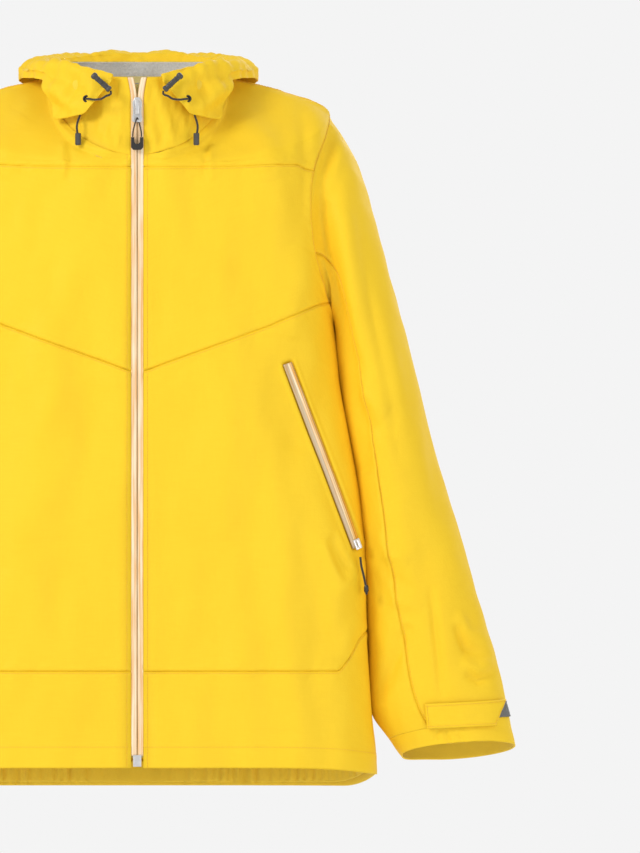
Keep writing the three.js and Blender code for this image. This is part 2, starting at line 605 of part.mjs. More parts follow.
const endProfile = [[0, -6.5], [2.4, -6.5], [3.2, -5.4], [3.2, 5.6], [2.4, 6.4], [0, 6.4]];
addPair("hood_cord_end", lathe(endProfile, 14).translate(61.8, TAIL_Y - 2, 679.4), GREY_PLASTIC);

// ---------------------------------------------------------------- export
export default group;
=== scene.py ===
"""A waterproof hardshell jacket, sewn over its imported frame.

Shapes are worked out in garment millimetres: Z is height above the back hem, Y is zero at the
side seams and the front faces -Y. The frame's origin is the hanger loop, in metres.
"""
from __future__ import annotations

import logging
import math
from dataclasses import dataclass, field
from enum import Enum
from typing import Callable, Optional, Sequence

import bmesh
import bpy
import numpy as np
from mathutils import Matrix, Vector


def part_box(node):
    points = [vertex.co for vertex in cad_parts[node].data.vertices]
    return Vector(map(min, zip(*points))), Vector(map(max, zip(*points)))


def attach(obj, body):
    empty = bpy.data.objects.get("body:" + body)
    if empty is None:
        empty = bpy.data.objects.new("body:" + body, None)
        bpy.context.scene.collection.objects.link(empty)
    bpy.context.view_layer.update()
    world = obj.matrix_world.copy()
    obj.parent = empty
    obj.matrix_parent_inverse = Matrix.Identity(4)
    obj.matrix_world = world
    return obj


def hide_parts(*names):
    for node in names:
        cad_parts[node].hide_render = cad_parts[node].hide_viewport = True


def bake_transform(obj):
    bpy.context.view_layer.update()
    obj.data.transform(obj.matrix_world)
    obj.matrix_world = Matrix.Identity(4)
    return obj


LOG = logging.getLogger("jacket")
LOOP_PLACE = np.array([0.0, 46.0, 744.0])  # the frame's origin in garment millimetres
MM = 0.001
Array = np.ndarray
Places = Callable[[Array, Array], Array]


class Side(Enum):
    """The wearer's sides, with the sign of their X."""

    LEFT = 1
    RIGHT = -1

    @property
    def tag(self) -> str:
        """The ending of this side's names."""
        return self.name.lower()


# ------------------------------------------------------------------ numbers and curves
def to_frame(points: Array) -> Array:
    """Garment millimetres to the frame's metres."""
    return (np.asarray(points, float) - LOOP_PLACE) * MM


def smooth(share: Array) -> Array:
    """Eases 0 to 1 with level ends; values outside are clamped."""
    held = np.clip(share, 0.0, 1.0)
    return held * held * (3.0 - 2.0 * held)


def curve_through(keys: Sequence[float], values: Sequence[float], at: Array) -> Array:
    """A smooth curve through keyed values, which never overshoots them.

    Args:
        keys: Where the values stand, rising.
        values: The values.
        at: Where to read the curve.

    Returns:
        The curve at each place, held at its ends.
    """
    k, v = np.asarray(keys, float), np.asarray(values, float)
    lows, highs = np.maximum(np.arange(len(k)) - 1, 0), np.minimum(np.arange(len(k)) + 1, len(k) - 1)
    slopes = (v[highs] - v[lows]) / (k[highs] - k[lows])
    runs = np.diff(v) / np.diff(k)
    before, after = np.append(runs[0], runs), np.append(runs, runs[-1])
    steepest = 3 * np.minimum(np.abs(before), np.abs(after))
    slopes = np.where(before * after < 0, 0.0, np.clip(slopes, -steepest, steepest))
    at = np.clip(np.asarray(at, float), k[0], k[-1])
    i = np.clip(np.searchsorted(k, at, side="right") - 1, 0, len(k) - 2)
    run = k[i + 1] - k[i]
    s = (at - k[i]) / run
    s2, s3 = s * s, s * s * s
    ends = v[i] * (2 * s3 - 3 * s2 + 1) + v[i + 1] * (3 * s2 - 2 * s3)
    return ends + run * (slopes[i] * (s3 - 2 * s2 + s) + slopes[i + 1] * (s3 - s2))


def waves(a: Array, b: Array, size: tuple[float, float], seed: int, count: int = 9) -> Array:
    """Soft seeded unevenness, about -1 to 1, from a few crossing waves.

    Args:
        a: First coordinate, in millimetres.
        b: Second coordinate, in millimetres.
        size: Typical length of a wave along each coordinate.
        seed: Chooses the pattern.
        count: How many waves cross.

    Returns:
        The sum of the waves at each place.
    """
    draw = np.random.default_rng(seed)
    total = np.zeros_like(np.asarray(a, float))
    bend = 0.9 * np.sin(a / size[0] * 1.7 + b / size[1] * 0.9 + seed)
    for _ in range(count):
        turn = draw.uniform(0, 2 * math.pi)
        phase = draw.uniform(0, 2 * math.pi)
        pace = draw.uniform(0.6, 1.7)
        along = math.cos(turn) * a / size[0] + math.sin(turn) * b / size[1]
        total += np.sin(2 * math.pi * pace * along + phase + bend)
    return total / math.sqrt(count)


# ------------------------------------------------------------------ creases
@dataclass(frozen=True)
class Crease:
    """A fold of the cloth along a line of (x, z) places on the front view.

    Attributes:
        line: Places that the fold passes, in garment millimetres.
        width: Half-width of the fold.
        ridge: Height of the fold, below zero for a valley.
        step: Height of a one-sided lap: up on the line's left, down on its right.
        taper: How slowly the ends fade.
    """

    line: tuple[tuple[float, float], ...]
    width: float
    ridge: float = 0.0
    step: float = 0.0
    taper: float = 0.6

    def height(self, x: Array, z: Array) -> Array:
        """Height of the fold at each place.

        Args:
            x: Places across the front view.
            z: Heights on it.

        Returns:
            The height at each.
        """
        points = np.array(self.line, float)
        runs = np.linalg.norm(np.diff(points, axis=0), axis=1)
        starts = np.concatenate([[0.0], np.cumsum(runs)])
        near = np.full(x.shape, 1e9)
        signed, travel = np.zeros(x.shape), np.zeros(x.shape)
        for a, b, length, start in zip(points[:-1], points[1:], runs, starts):
            way = (b - a) / length
            along = (x - a[0]) * way[0] + (z - a[1]) * way[1]
            held = np.clip(along, 0, length)
            gap = np.hypot(x - a[0] - way[0] * held, z - a[1] - way[1] * held)
            aside = way[0] * (z - a[1]) - way[1] * (x - a[0])
            closer = gap < near
            near = np.where(closer, gap, near)
            signed = np.where(closer, np.sign(aside) * gap, signed)
            travel = np.where(closer, start + held, travel)
        share = travel / starts[-1]
        fade = np.clip(4 * share * (1 - share), 0, 1) ** self.taper
        bell = np.exp(-((near / self.width) ** 2))
        return fade * bell * (self.ridge + self.step * 1.6 * signed / self.width)


def fold_height(creases: Sequence[Crease], x: Array, z: Array) -> Array:
    """The sum of several folds at each place.

    Args:
        creases: The folds.
        x: Places across the front view.
        z: Heights on it.

    Returns:
        The height at each.
    """
    total = np.zeros(np.shape(x))
    for crease in creases:
        total += crease.height(x, z)
    return total


# ------------------------------------------------------------------ the garment's forms
@dataclass
class BodyForm:
    """The closed body and collar as one smooth surface of levels and angles.

    Attributes:
        front: Depth of the front ahead of the side seams.
        collar: Level of the collar's top.
        armhole_half: Half the armhole's width from front to back.
        dent: How far the body draws in beside the sleeves.
        rounds: Powers of the outline, two for an oval.
        pocket_hold: How far round it the front is held.
        swell_height: How far the gathered cloth round the neck stands out.
    """

    front: float = 106.0
    yoke: float = 654.0
    back_yoke: float = 600.0
    tip: float = 700.0
    neck: float = 800.0
    collar: float = 900.0
    underarm: float = 485.0
    shoulder: float = 706.0
    armhole_half: float = 66.0
    dent: float = 9.0
    zip_half: float = 6.3
    levels: tuple = (0, 92, 155, 281, 407, 485, 560, 650, 700, 750, 800, 900)
    widths: tuple = (250, 247, 243, 238, 218, 207, 200, 197, 201, 150, 88, 82)
    backs: tuple = (108, 110, 110, 110, 111, 113, 114, 110, 100, 82, 60, 56)
    rounds: tuple = (3.5, 3.6, 3.7, 3.8, 3.2, 3.2, 3.2, 3.0, 2.5, 2.2, 2.0, 2.0)
    fronts: tuple = (0, 92, 155, 281, 407, 485, 560, 650, 655, 659, 663, 744)
    sides: tuple = (0, 92, 155, 281, 407, 485, 560, 650, 706, 732, 748, 762)
    rears: tuple = (0, 92, 155, 281, 407, 485, 560, 650, 682, 716, 740, 764)
    pocket_top: tuple = (158.5, -88.0, 441.5)
    pocket_end: tuple = (228.0, -60.0, 258.0)
    pocket_hold: float = 36.0
    swell_height: float = 8.0

    def measure(self, values: Sequence[float], level: Array) -> Array:
        """One measure of the body's section at each level."""
        return curve_through(self.levels, values, level)

    def pocket_pull(self, x: Array, z: Array) -> Array:
        """How far the stiff pocket zip holds the front along Y.

        Args:
            x: Places across the front view.
            z: Heights on it.

        Returns:
            The shift at each, in millimetres.
        """
        top, end = np.array(self.pocket_top), np.array(self.pocket_end)
        run = np.array([end[0] - top[0], end[2] - top[2]])
        length = float(np.hypot(*run))
        dx, dz = x - top[0], z - top[2]
        travel = (dx * run[0] + dz * run[1]) / length**2
        aside = (dx * run[1] - dz * run[0]) / length
        near = np.clip(travel, 0, 1)
        beyond = (travel - near) * length
        weight = np.exp(-(aside**2 + beyond**2) / self.pocket_hold**2)
        line_x, line_z = top[0] + run[0] * near, top[2] + run[1] * near
        power = self.measure(self.rounds, line_z)
        share = line_x / self.measure(self.widths, line_z)
        free = -self.front * (1 - share**power) ** (1 / power)
        return weight * (top[1] + (end[1] - top[1]) * near - free)

    def point(self, level: Array, angle: Array) -> Array:
        """Points of the body; angle 0 is the centre front and pi the centre back.

        Args:
            level: Level of each point.
            angle: Angle round the body of each point.

        Returns:
            Rows of x, y, z in garment millimetres.
        """
        level, angle = np.broadcast_arrays(np.asarray(level, float), np.asarray(angle, float))
        power = 2 / self.measure(self.rounds, level)
        sine, cosine = np.sin(angle), np.cos(angle)
        ahead = cosine > 0
        depth = np.where(ahead, self.front, self.measure(self.backs, level))
        end = np.where(ahead, self.measure(self.fronts, level), self.measure(self.rears, level))
        x = self.measure(self.widths, level) * np.sign(sine) * np.abs(sine) ** power
        y = -depth * np.sign(cosine) * np.abs(cosine) ** power
        side = self.measure(self.sides, level)
        z = side + (end - side) * np.abs(cosine)
        held = ahead & (level < 600)
        pull = self.pocket_pull(np.abs(x), np.where(held, z, 350.0)) * smooth(cosine / 0.25)
        beside = smooth((level - 40) / 60) * smooth((470 - level) / 60) * np.exp(-((y / 25) ** 2))
        x = x - np.sign(x) * self.dent * beside
        swell = self.swell(x, y, z) * (1 - 0.8 * smooth((level - self.neck) / 80))
        reach = np.maximum(np.hypot(x * 0.6, y), 1.0)
        x, y = x + swell * x * 0.6 / reach, y + swell * y / reach
        return np.stack([x, y + np.where(held, pull, 0.0), z], axis=-1)

    def swell(self, x: Array, y: Array, z: Array) -> Array:
        """How far the gathered cloth round the neck stands out over the yoke.

        Args:
            x: Places across the front view.
            y: Depths.
            z: Heights.

        Returns:
            The shift at each.
        """
        power = 2.5
        reach = (np.abs(x / 94) ** power + (np.maximum(742 - z, 0) / 84) ** power) ** (1 / power)
        edge = smooth((1.03 - reach) / 0.12) * smooth((np.abs(x) - 8) / 26) * smooth((30 - y) / 40)
        return np.where(z > 640, self.swell_height * edge, 0.0)

    def angle_at(self, level: Array, x: Array) -> Array:
        """Angle where the front stands at a half-width."""
        share = np.clip(x / self.measure(self.widths, level), 0, 1)
        return np.arcsin(np.minimum(1.0, share ** (self.measure(self.rounds, level) / 2)))

    def armhole(self, level: Array) -> Array:
        """Half the armhole's width from front to back at each level."""
        height = self.measure(self.sides, level)
        middle, reach = (self.underarm + self.shoulder) / 2, (self.shoulder - self.underarm) / 2
        share = np.clip((height - middle) / reach, -1, 1)
        return np.where(level > self.tip, 0.0, self.armhole_half * np.sqrt(1 - share**2))

    def edge(self, level: Array, back: bool = False) -> Array:
        """Angle of the armhole's edge or of the side seam."""
        depth = self.measure(self.backs, level) if back else self.front
        share = np.clip(self.armhole(level) / depth, 0, 1)
        away = np.arccos(share ** (self.measure(self.rounds, level) / 2))
        return math.pi - away if back else away

    def armhole_point(self, angle: Array) -> Array:
        """Points of the armhole's edge; 0 is the shoulder tip, positive runs over the front.

        Args:
            angle: Angles round the armhole.

        Returns:
            Rows of x, y, z in garment millimetres.
        """
        angle = np.asarray(angle, float)
        middle, reach = (self.underarm + self.shoulder) / 2, (self.shoulder - self.underarm) / 2
        height = middle + reach * np.cos(angle)
        trial = np.linspace(650, self.tip, 200)
        level = np.where(height > 650, np.interp(height, self.measure(self.sides, trial), trial), height)
        front = self.point(level, self.edge(level))
        rear = self.point(level, self.edge(level, True))
        return np.where((np.sin(angle) < 0)[..., None], rear, front)


@dataclass
class SleeveForm:
    """A hanging left sleeve, from the armhole to the cuff.

    Attributes:
        shifts: How far its middle stands behind the side seams.
        fitted: Share of its length over which it takes the armhole's shape.
    """

    body: BodyForm
    outer_x: tuple = (204, 228, 250, 275, 293, 316, 346, 378, 396)
    outer_z: tuple = (706, 659, 589, 500, 428, 336, 235, 130, 43.6)
    inner_x: tuple = (207, 207, 212, 221.5, 230, 234, 237, 243.5, 277)
    inner_z: tuple = (485, 452, 405, 343, 281, 215, 150, 82, 34)
    depths: tuple = (66, 66, 69, 72, 71, 66, 60, 53, 46)
    shifts: tuple = (0, 2, 4, 4, 2, -2, -6, -10, -12)
    fitted: float = 0.16

    def free(self, share: Array, angle: Array) -> Array:
        """Points of the sleeve without its fit to the armhole.

        Args:
            share: Shares of the way to the cuff.
            angle: Angles round the arm.

        Returns:
            Rows of x, y, z in garment millimetres.
        """
        keys = np.linspace(0, 1, len(self.depths))

        def read(values: Sequence[float]) -> Array:
            """One measure at each share."""
            return curve_through(keys, values, share)

        def across(outer: Sequence[float], inner: Sequence[float]) -> Array:
            """Coordinate between the two edges at each angle."""
            return (read(outer) + read(inner)) / 2 + (read(outer) - read(inner)) * lean

        lean = np.cos(angle) / 2
        x = across(self.outer_x, self.inner_x)
        z = across(self.outer_z, self.inner_z)
        return np.stack([x, read(self.shifts) - read(self.depths) * np.sin(angle), z], axis=-1)

    def point(self, share: Array, angle: Array) -> Array:
        """Points of the left sleeve; angle 0 is the outer edge, a quarter turn the front.

        Args:
            share: Shares of the way to the cuff.
            angle: Angles round the arm.

        Returns:
            Rows of x, y, z in garment millimetres.
        """
        share, angle = np.broadcast_arrays(np.asarray(share, float), np.asarray(angle, float))
        fit = self.body.armhole_point(angle) - self.free(np.zeros(share.shape), angle)
        fade = np.clip(1 - share / self.fitted, 0, 1) ** 2
        return self.free(share, angle) + fit * fade[..., None]


@dataclass
class HoodForm:
    """The hood laid down round the neck: up from its seam, over a roll, and down outside.

    Attributes:
        reaches: How far the hood stands out from the neck.
        knee: Share of the cloth that rises inside.
        clear: Gap from the collar at the foot.
        foot: Height of the foot above the neck seam.
        arch: Rise of the roll's crown.
    """

    body: BodyForm
    angles: tuple = (15, 40, 65, 90, 120, 150, 180)
    tops: tuple = (748, 758, 762, 765, 769, 773, 775)
    reaches: tuple = (15, 20, 30, 40, 54, 68, 76)
    hem_angles: tuple = (15, 22, 31, 38, 45, 53, 58, 64, 90, 120, 150, 180)
    falls: tuple = (741, 728, 708, 704, 702, 701, 722, 742, 745, 738, 700, 662)
    knee: float = 0.35
    clear: float = 9.0
    foot: float = 14.0
    arch: float = 5.0

    def point(self, angle: Array, share: Array) -> Array:
        """Points of the hood by angle round the neck and share from its base.

        Args:
            angle: Angles from the centre front.
            share: Shares of the way to the loose edge.

        Returns:
            Rows of x, y, z in garment millimetres.
        """
        angle, share = np.broadcast_arrays(np.asarray(angle, float), np.asarray(share, float))
        turn = np.degrees(np.minimum(angle, 2 * math.pi - angle))
        top = curve_through(self.angles, self.tops, turn)
        reach = curve_through(self.angles, self.reaches, turn)
        fall = curve_through(self.hem_angles, self.falls, turn)
        neck = self.body.point(np.full(angle.shape, self.body.collar), angle)
        base = self.body.point(np.full(angle.shape, self.body.neck), angle)[..., 2] + self.foot
        way = np.stack([np.sin(angle) * 1.1, -np.cos(angle), np.zeros(angle.shape)], axis=-1)
        way /= np.linalg.norm(way, axis=-1, keepdims=True)
        inside = share < self.knee
        rise = np.clip(share / self.knee, 0, 1)
        over = np.clip((share - self.knee) / (1 - self.knee), 0, 1)
        crest = reach * 0.45
        inner = self.clear + (crest - self.clear) * 0.35
        outward = inner + (reach - inner) * smooth(over / 0.55)
        away = np.where(inside, self.clear + (inner - self.clear) * rise**2, outward)
        drop = np.clip((over - 0.2) / 0.8, 0, 1) ** 1.2
        crown = self.arch * np.sin(math.pi * np.clip(over / 0.45, 0, 1))
        fallen = top - self.arch + (fall - top + self.arch) * drop + crown
        height = np.where(inside, base + (top - self.arch - base) * rise, fallen)
        place = neck + way * away[..., None]
        place[..., 2] = height
        return place


# ------------------------------------------------------------------ materials
class Channel:
    """A shader value that adds Math nodes as an expression is written."""

    def __init__(self, tree: bpy.types.NodeTree, source: bpy.types.NodeSocket) -> None:
        """Wraps one output socket of a tree."""
        self.tree = tree
        self.source = source

    def _math(self, operation: str, *inputs: object) -> "Channel":
        """Adds one Math node.

        Args:
            operation: What it works out.
            inputs: Channels or numbers.

        Returns:
            Its result.
        """
        node = self.tree.nodes.new("ShaderNodeMath")
        node.operation = operation
        for socket, value in zip(node.inputs, inputs):
            if isinstance(value, Channel):
                self.tree.links.new(value.source, socket)
            else:
                socket.default_value = float(value)
        return Channel(self.tree, node.outputs[0])

    def __add__(self, other: object) -> "Channel":
        """Sum."""
        return self._math("ADD", self, other)

    def __mul__(self, other: object) -> "Channel":
        """Product."""
        return self._math("MULTIPLY", self, other)

    def __sub__(self, other: object) -> "Channel":
        """Difference."""
        return self._math("SUBTRACT", self, other)

    def __rsub__(self, other: object) -> "Channel":
        """Difference from a number."""
        return self._math("SUBTRACT", other, self)

    def __truediv__(self, other: object) -> "Channel":
        """Quotient."""
        return self._math("DIVIDE", self, other)

    def __abs__(self) -> "Channel":
        """Size without sign."""
        return self._math("ABSOLUTE", self)

    def sine(self) -> "Channel":
        """Sine."""
        return self._math("SINE", self)

    def held(self) -> "Channel":
        """Held between 0 and 1."""
        return self._math("MINIMUM", self._math("MAXIMUM", self, 0.0), 1.0)

    def over(self, edge: float) -> "Channel":
        """1 where the value passes an edge, else 0."""
        return self._math("GREATER_THAN", self, edge)


class Shade:
    """One material's node tree, with its surface shader ready."""

    def __init__(self, name: str) -> None:
        """Starts a material with one Principled shader."""
        self.material = bpy.data.materials.new(name)
        self.material.use_nodes = True
        self.tree = self.material.node_tree
        self.surface = next(n for n in self.tree.nodes if n.type == "BSDF_PRINCIPLED")

    def node(self, kind: str, settings: Optional[dict] = None, **sockets: object) -> bpy.types.Node:
        """Adds any node.

        Args:
            kind: The node's type.
            settings: Its own properties, set first.
            sockets: Values, channels or sockets for its inputs; underscores stand for spaces.

        Returns:
            The node.
        """
        made = self.tree.nodes.new(kind)
        for key, value in (settings or {}).items():
            setattr(made, key, value)
        for key, value in sockets.items():
            self.feed(made.inputs[key.replace("_", " ")], value)
        return made

    def feed(self, socket: bpy.types.NodeSocket, value: object) -> None:
        """Sets or links one input."""
        if isinstance(value, Channel):
            self.tree.links.new(value.source, socket)
        elif isinstance(value, bpy.types.NodeSocket):
            self.tree.links.new(value, socket)
        else:
            socket.default_value = value

    def place(self, size: tuple[float, float, float], surface: bool = False) -> bpy.types.NodeSocket:
        """Coordinates divided by a size in metres, on the cloth's UV map or in the frame.

        Args:
            size: The size along each axis.
            surface: Uses the UV map.

        Returns:
            The coordinates' socket.
        """
        source = self.node("ShaderNodeTexCoord").outputs["UV" if surface else "Object"]
        scale = tuple(1 / part for part in size)
        mapping = self.node("ShaderNodeMapping", None, Vector=source, Scale=scale)
        return mapping.outputs["Vector"]

    def noise(
        self, size: tuple[float, float, float], surface: bool = False, detail: float = 2.0
    ) -> Channel:
        """Soft noise of a grain size, 0 to 1.

        Args:
            size: A grain's size in metres.
            surface: Lies on the UV map.
            detail: Octaves.

        Returns:
            The noise.
        """
        place = self.place(size, surface)
        made = self.node("ShaderNodeTexNoise", None, Vector=place, Scale=1.0, Detail=detail)
        return Channel(self.tree, made.outputs[0])

    def axis(self, name: str, surface: bool = False) -> Channel:
        """One coordinate in metres."""
        source = self.node("ShaderNodeTexCoord").outputs["UV" if surface else "Object"]
        split = self.node("ShaderNodeSeparateXYZ", None, Vector=source)
        return Channel(self.tree, split.outputs[name])

    def mix(self, share: object, low: object, high: object) -> bpy.types.NodeSocket:
        """A colour between two others.

        Args:
            share: 0 for the low colour, 1 for the high.
            low: A colour or socket.
            high: A colour or socket.

        Returns:
            The colour's socket.
        """
        made = self.node("ShaderNodeMix", {"data_type": "RGBA"})
        for socket, value in ((0, share), (6, low), (7, high)):
            if isinstance(value, tuple):
                value = (*value, 1.0)
            self.feed(made.inputs[socket], value)
        return made.outputs[2]

    def bump(self, height: Channel, depth: float) -> None:
        """Raises the surface by a height of 0 to 1 times a depth in metres."""
        made = self.node("ShaderNodeBump", None, Height=height, Distance=depth, Strength=1.0)
        self.feed(self.surface.inputs["Normal"], made.outputs["Normal"])

    def set(self, **sockets: object) -> None:
        """Sets the surface shader's own sockets; a three-part tuple is a colour."""
        for key, value in sockets.items():
            if isinstance(value, tuple) and len(value) == 3:
                value = (*value, 1.0)
            self.feed(self.surface.inputs[key.replace("_", " ")], value)


@dataclass(frozen=True)
class ShellCloth:
    """Matt taffeta face of a three-layer laminate, slubbed and barely lustrous.

    Attributes:
        gloss: Strength of its reflections.
        warp_pitch: Spacing of the weave's threads along the cloth, in metres.
        weft_pitch: Spacing across it.
        depth: Depth of the whole relief, in metres.
    """

    name: str = "shell_cloth"
    light: tuple = (0.985, 0.675, 0.030)
    deep: tuple = (0.93, 0.585, 0.020)
    roughness: float = 0.58
    gloss: float = 0.16
    warp_pitch: float = 0.0009
    weft_pitch: float = 0.0008
    depth: float = 0.00022

    def make(self) -> bpy.types.Material:
        """Builds the material."""
        shade = Shade(self.name)
        slub = shade.noise((0.022, 0.0011, 1.0), surface=True, detail=2.0)
        warp = shade.noise((0.0010, 0.030, 1.0), surface=True, detail=1.0)
        cloud = shade.noise((0.09, 0.09, 0.09), detail=3.0)
        tone = (slub * 0.45 + warp * 0.25 + cloud * 0.55 - 0.15).held()
        shade.set(Base_Color=shade.mix(tone, self.deep, self.light), Roughness=self.roughness)
        shade.set(Specular_IOR_Level=self.gloss)
        along, across = shade.axis("X", True), shade.axis("Y", True)
        warps = (along * (2 * math.pi / self.warp_pitch)).sine()
        weave = warps * (across * (2 * math.pi / self.weft_pitch)).sine()
        crumple = shade.noise((0.020, 0.020, 0.020), detail=4.0)
        shade.bump(weave * 0.06 + slub * 0.3 + warp * 0.2 + crumple * 3.4, self.depth)
        return shade.material


@dataclass(frozen=True)
class BackCloth:
    """Plain cloth: the laminate's inner face, linings and tape."""

    name: str
    light: tuple
    deep: tuple
    grain: float = 0.0012
    depth: float = 0.0003
    roughness: float = 0.85
    sheen: float = 0.2

    def make(self) -> bpy.types.Material:
        """Builds the material."""
        shade = Shade(self.name)
        fuzz = shade.noise((self.grain,) * 3, detail=3.0)
        cloud = shade.noise((0.03,) * 3, detail=2.0)
        tone = (fuzz * 0.7 + cloud * 0.5 - 0.1).held()
        shade.set(Base_Color=shade.mix(tone, self.deep, self.light))
        shade.set(Roughness=self.roughness, Sheen_Weight=self.sheen)
        shade.bump(fuzz, self.depth)
        return shade.material


@dataclass(frozen=True)
class FilmTape:
    """Film-laminated glossy zip tape: pale streaks along it, partly its tone and partly painted
    reflections, a painted highlight down one side, and a dark closing line.

    Attributes:
        lean: How much one side is painted lighter, as a highlight, and the other deeper; its sign picks the
            side.
        pale: Share of the pale colour, which is partly the tape's tone and partly painted reflection.
        gap: Half-width of the closing line, by share of the half-width.
        rib: Place of the rib beside it, by the same share.
        hem: Where the darker edge begins, by the same share.
        depth: Depth of its unevenness, in metres.
    """

    name: str
    light: tuple
    deep: tuple
    line: tuple
    half: float
    lean: float = 0.0
    pale: float = 0.58
    gap: float = 0.09
    rib: float = 0.48
    hem: float = 0.94
    roughness: float = 0.27
    depth: float = 0.00018

    def make(self) -> bpy.types.Material:
        """Builds the material."""
        shade = Shade(self.name)
        across = abs(shade.axis("X", True)) / self.half
        # Streaks and blotches: partly the tape's own tone, partly painted reflections on its film.
        streak = shade.noise((0.0019, 0.13, 1.0), surface=True, detail=2.0)
        blotch = shade.noise((0.006, 0.045, 1.0), surface=True, detail=2.0)
        # Painted highlight: lean lightens one side of the closing line and darkens the other, varying along
        # the length with this glint noise.
        glint = shade.noise((0.5, 0.09, 1.0), surface=True, detail=1.0)
        sided = shade.axis("X", True) / self.half * self.lean
        streaks_and_painted_reflections = (streak - 0.5) * 2.8 + (blotch - 0.5) * 1.5
        tone = (streaks_and_painted_reflections + self.pale + sided * (glint + 0.3)).held()
        body = shade.mix(tone, self.deep, self.light)
        closing = 1.0 - (across / self.gap).held()
        rib = 1.0 - (abs(across - self.rib) / 0.07).held()
        edge = across.over(self.hem)
        lined = shade.mix((closing * 0.8 + rib * 0.3 + edge * 0.45).held(), body, self.line)
        shade.set(Base_Color=lined, Roughness=self.roughness)
        shade.set(Coat_Weight=0.35, Coat_Roughness=0.15)
        shade.bump(streak * 0.5 + blotch, self.depth)
        return shade.material


@dataclass(frozen=True)
class CastMetal:
    """Satin die-cast zip metal."""

    name: str = "cast_metal"
    colour: tuple = (0.90, 0.90, 0.90)
    worn: tuple = (0.60, 0.59, 0.58)
    metallic: float = 0.75

    def make(self) -> bpy.types.Material:
        """Builds the material."""
        shade = Shade(self.name)
        wear = shade.noise((0.004,) * 3, detail=4.0)
        grain = shade.noise((0.0004,) * 3, detail=2.0)
        shade.set(Base_Color=shade.mix(wear, self.worn, self.colour), Metallic=self.metallic)
        shade.set(Roughness=(wear * 0.25 + 0.2))
        shade.bump(grain, 0.00003)
        return shade.material


@dataclass(frozen=True)
class Moulded:
    """Moulded plastic with a fine spark grain."""

    name: str
    colour: tuple
    roughness: float = 0.45

    def make(self) -> bpy.types.Material:
        """Builds the material."""
        shade = Shade(self.name)
        grain = shade.noise((0.0003,) * 3, detail=2.0)
        cloud = shade.noise((0.006,) * 3, detail=2.0)
        pale = tuple(min(1.0, part * 1.25 + 0.01) for part in self.colour)
        shade.set(Base_Color=shade.mix(cloud, self.colour, pale))
        shade.set(Roughness=cloud * 0.15 + self.roughness - 0.07)
        shade.bump(grain, 0.00004)
        return shade.material


@dataclass(frozen=True)
class BraidedCord:
    """A tight dark braid with fine lighter flecks."""

    name: str = "braided_cord"
    colour: tuple = (0.018, 0.013, 0.010)
    fleck: tuple = (0.075, 0.058, 0.045)
    pitch: float = 0.0012

    def make(self) -> bpy.types.Material:
        """Builds the material."""
        shade = Shade(self.name)
        x, y, z = (shade.axis(axis) for axis in "XYZ")
        turn = 2 * math.pi / self.pitch
        one = ((x + z) * turn).sine()
        two = ((x - z + y) * turn).sine()
        braid = (one * two * 0.5 + 0.5).held()
        shade.set(Base_Color=shade.mix(braid * 0.7, self.colour, self.fleck))
        shade.set(Roughness=0.75, Sheen_Weight=0.2)
        shade.bump(braid, 0.00018)
        return shade.material


@dataclass
class Wardrobe:
    """Every finish, made once."""

    made: dict = field(default_factory=dict)

    def get(self, finish: object) -> bpy.types.Material:
        """The material of a finish."""
        if finish.name not in self.made:
            self.made[finish.name] = finish.make()
        return self.made[finish.name]


SHELL = ShellCloth()
INNER_FACE = BackCloth("inner_face", (0.98, 0.70, 0.05), (0.90, 0.60, 0.03))
KNIT = BackCloth("knit_lining", (0.80, 0.79, 0.75), (0.50, 0.49, 0.46), grain=0.0022, depth=0.0009)
TAPE_CLOTH = BackCloth("inner_tape", (0.80, 0.70, 0.30), (0.62, 0.50, 0.16))
LOOP_TAPE = BackCloth("loop_tape", (0.24, 0.24, 0.23), (0.07, 0.07, 0.065), grain=0.0009, depth=0.0008)
# The tapes' pale colours are partly painted reflections; the pocket tape's lean paints a highlight down one
# side of its closing line.
FRONT_TAPE = FilmTape(
    "front_zip_tape", light=(0.99, 0.83, 0.57), deep=(0.86, 0.46, 0.16), line=(0.52, 0.27, 0.10),
    half=0.0063,
)
POCKET_TAPE = FilmTape(
    "pocket_zip_tape", light=(0.99, 0.80, 0.50), deep=(0.86, 0.42, 0.06), line=(0.13, 0.05, 0.01),
    half=0.0052, lean=-0.7, pale=0.22, gap=0.16,
)
METAL = CastMetal()
DARK = Moulded("dark_plastic", (0.016, 0.013, 0.011), 0.38)
GREY = Moulded("grey_plastic", (0.050, 0.047, 0.044), 0.35)
CORD = BraidedCord()
THREAD = Moulded("thread", (0.80, 0.46, 0.03), 0.6)


# ------------------------------------------------------------------ placing pieces
def linked(name: str, data: Optional[bpy.types.ID]) -> bpy.types.Object:
    """Puts a new object with this data in the scene."""
    piece = bpy.data.objects.new(name, data)
    bpy.context.scene.collection.objects.link(piece)
    return piece


def smooth_shaded(mesh: bpy.types.Mesh) -> None:
    """Shades every face smooth."""
    mesh.polygons.foreach_set("use_smooth", np.ones(len(mesh.polygons), bool))


def on(piece: bpy.types.Object, body: str, slot: str, *nodes: str) -> None:
    """Puts a piece on one body.

    Args:
        piece: The piece.
        body: The body that it rides.
        slot: Not used.
        nodes: CAD nodes that it replaces, none for an addition.
    """
    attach(piece, body)
    if nodes:
        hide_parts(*nodes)


def between(piece: bpy.types.Object, bodies: tuple, span: Sequence, slot: str, *nodes: str) -> None:
    """Bakes a piece's transform into its mesh and hides the CAD nodes that it replaces.

    Args:
        piece: The piece.
        bodies: Not used.
        span: Not used.
        slot: Not used.
        nodes: CAD nodes that it replaces, none for an addition.
    """
    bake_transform(piece)
    if nodes:
        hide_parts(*nodes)


def box_middle(node: str) -> Array:
    """The middle of a CAD node's box, in the frame."""
    low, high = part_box(node)
    return (np.array(low) + np.array(high)) / 2


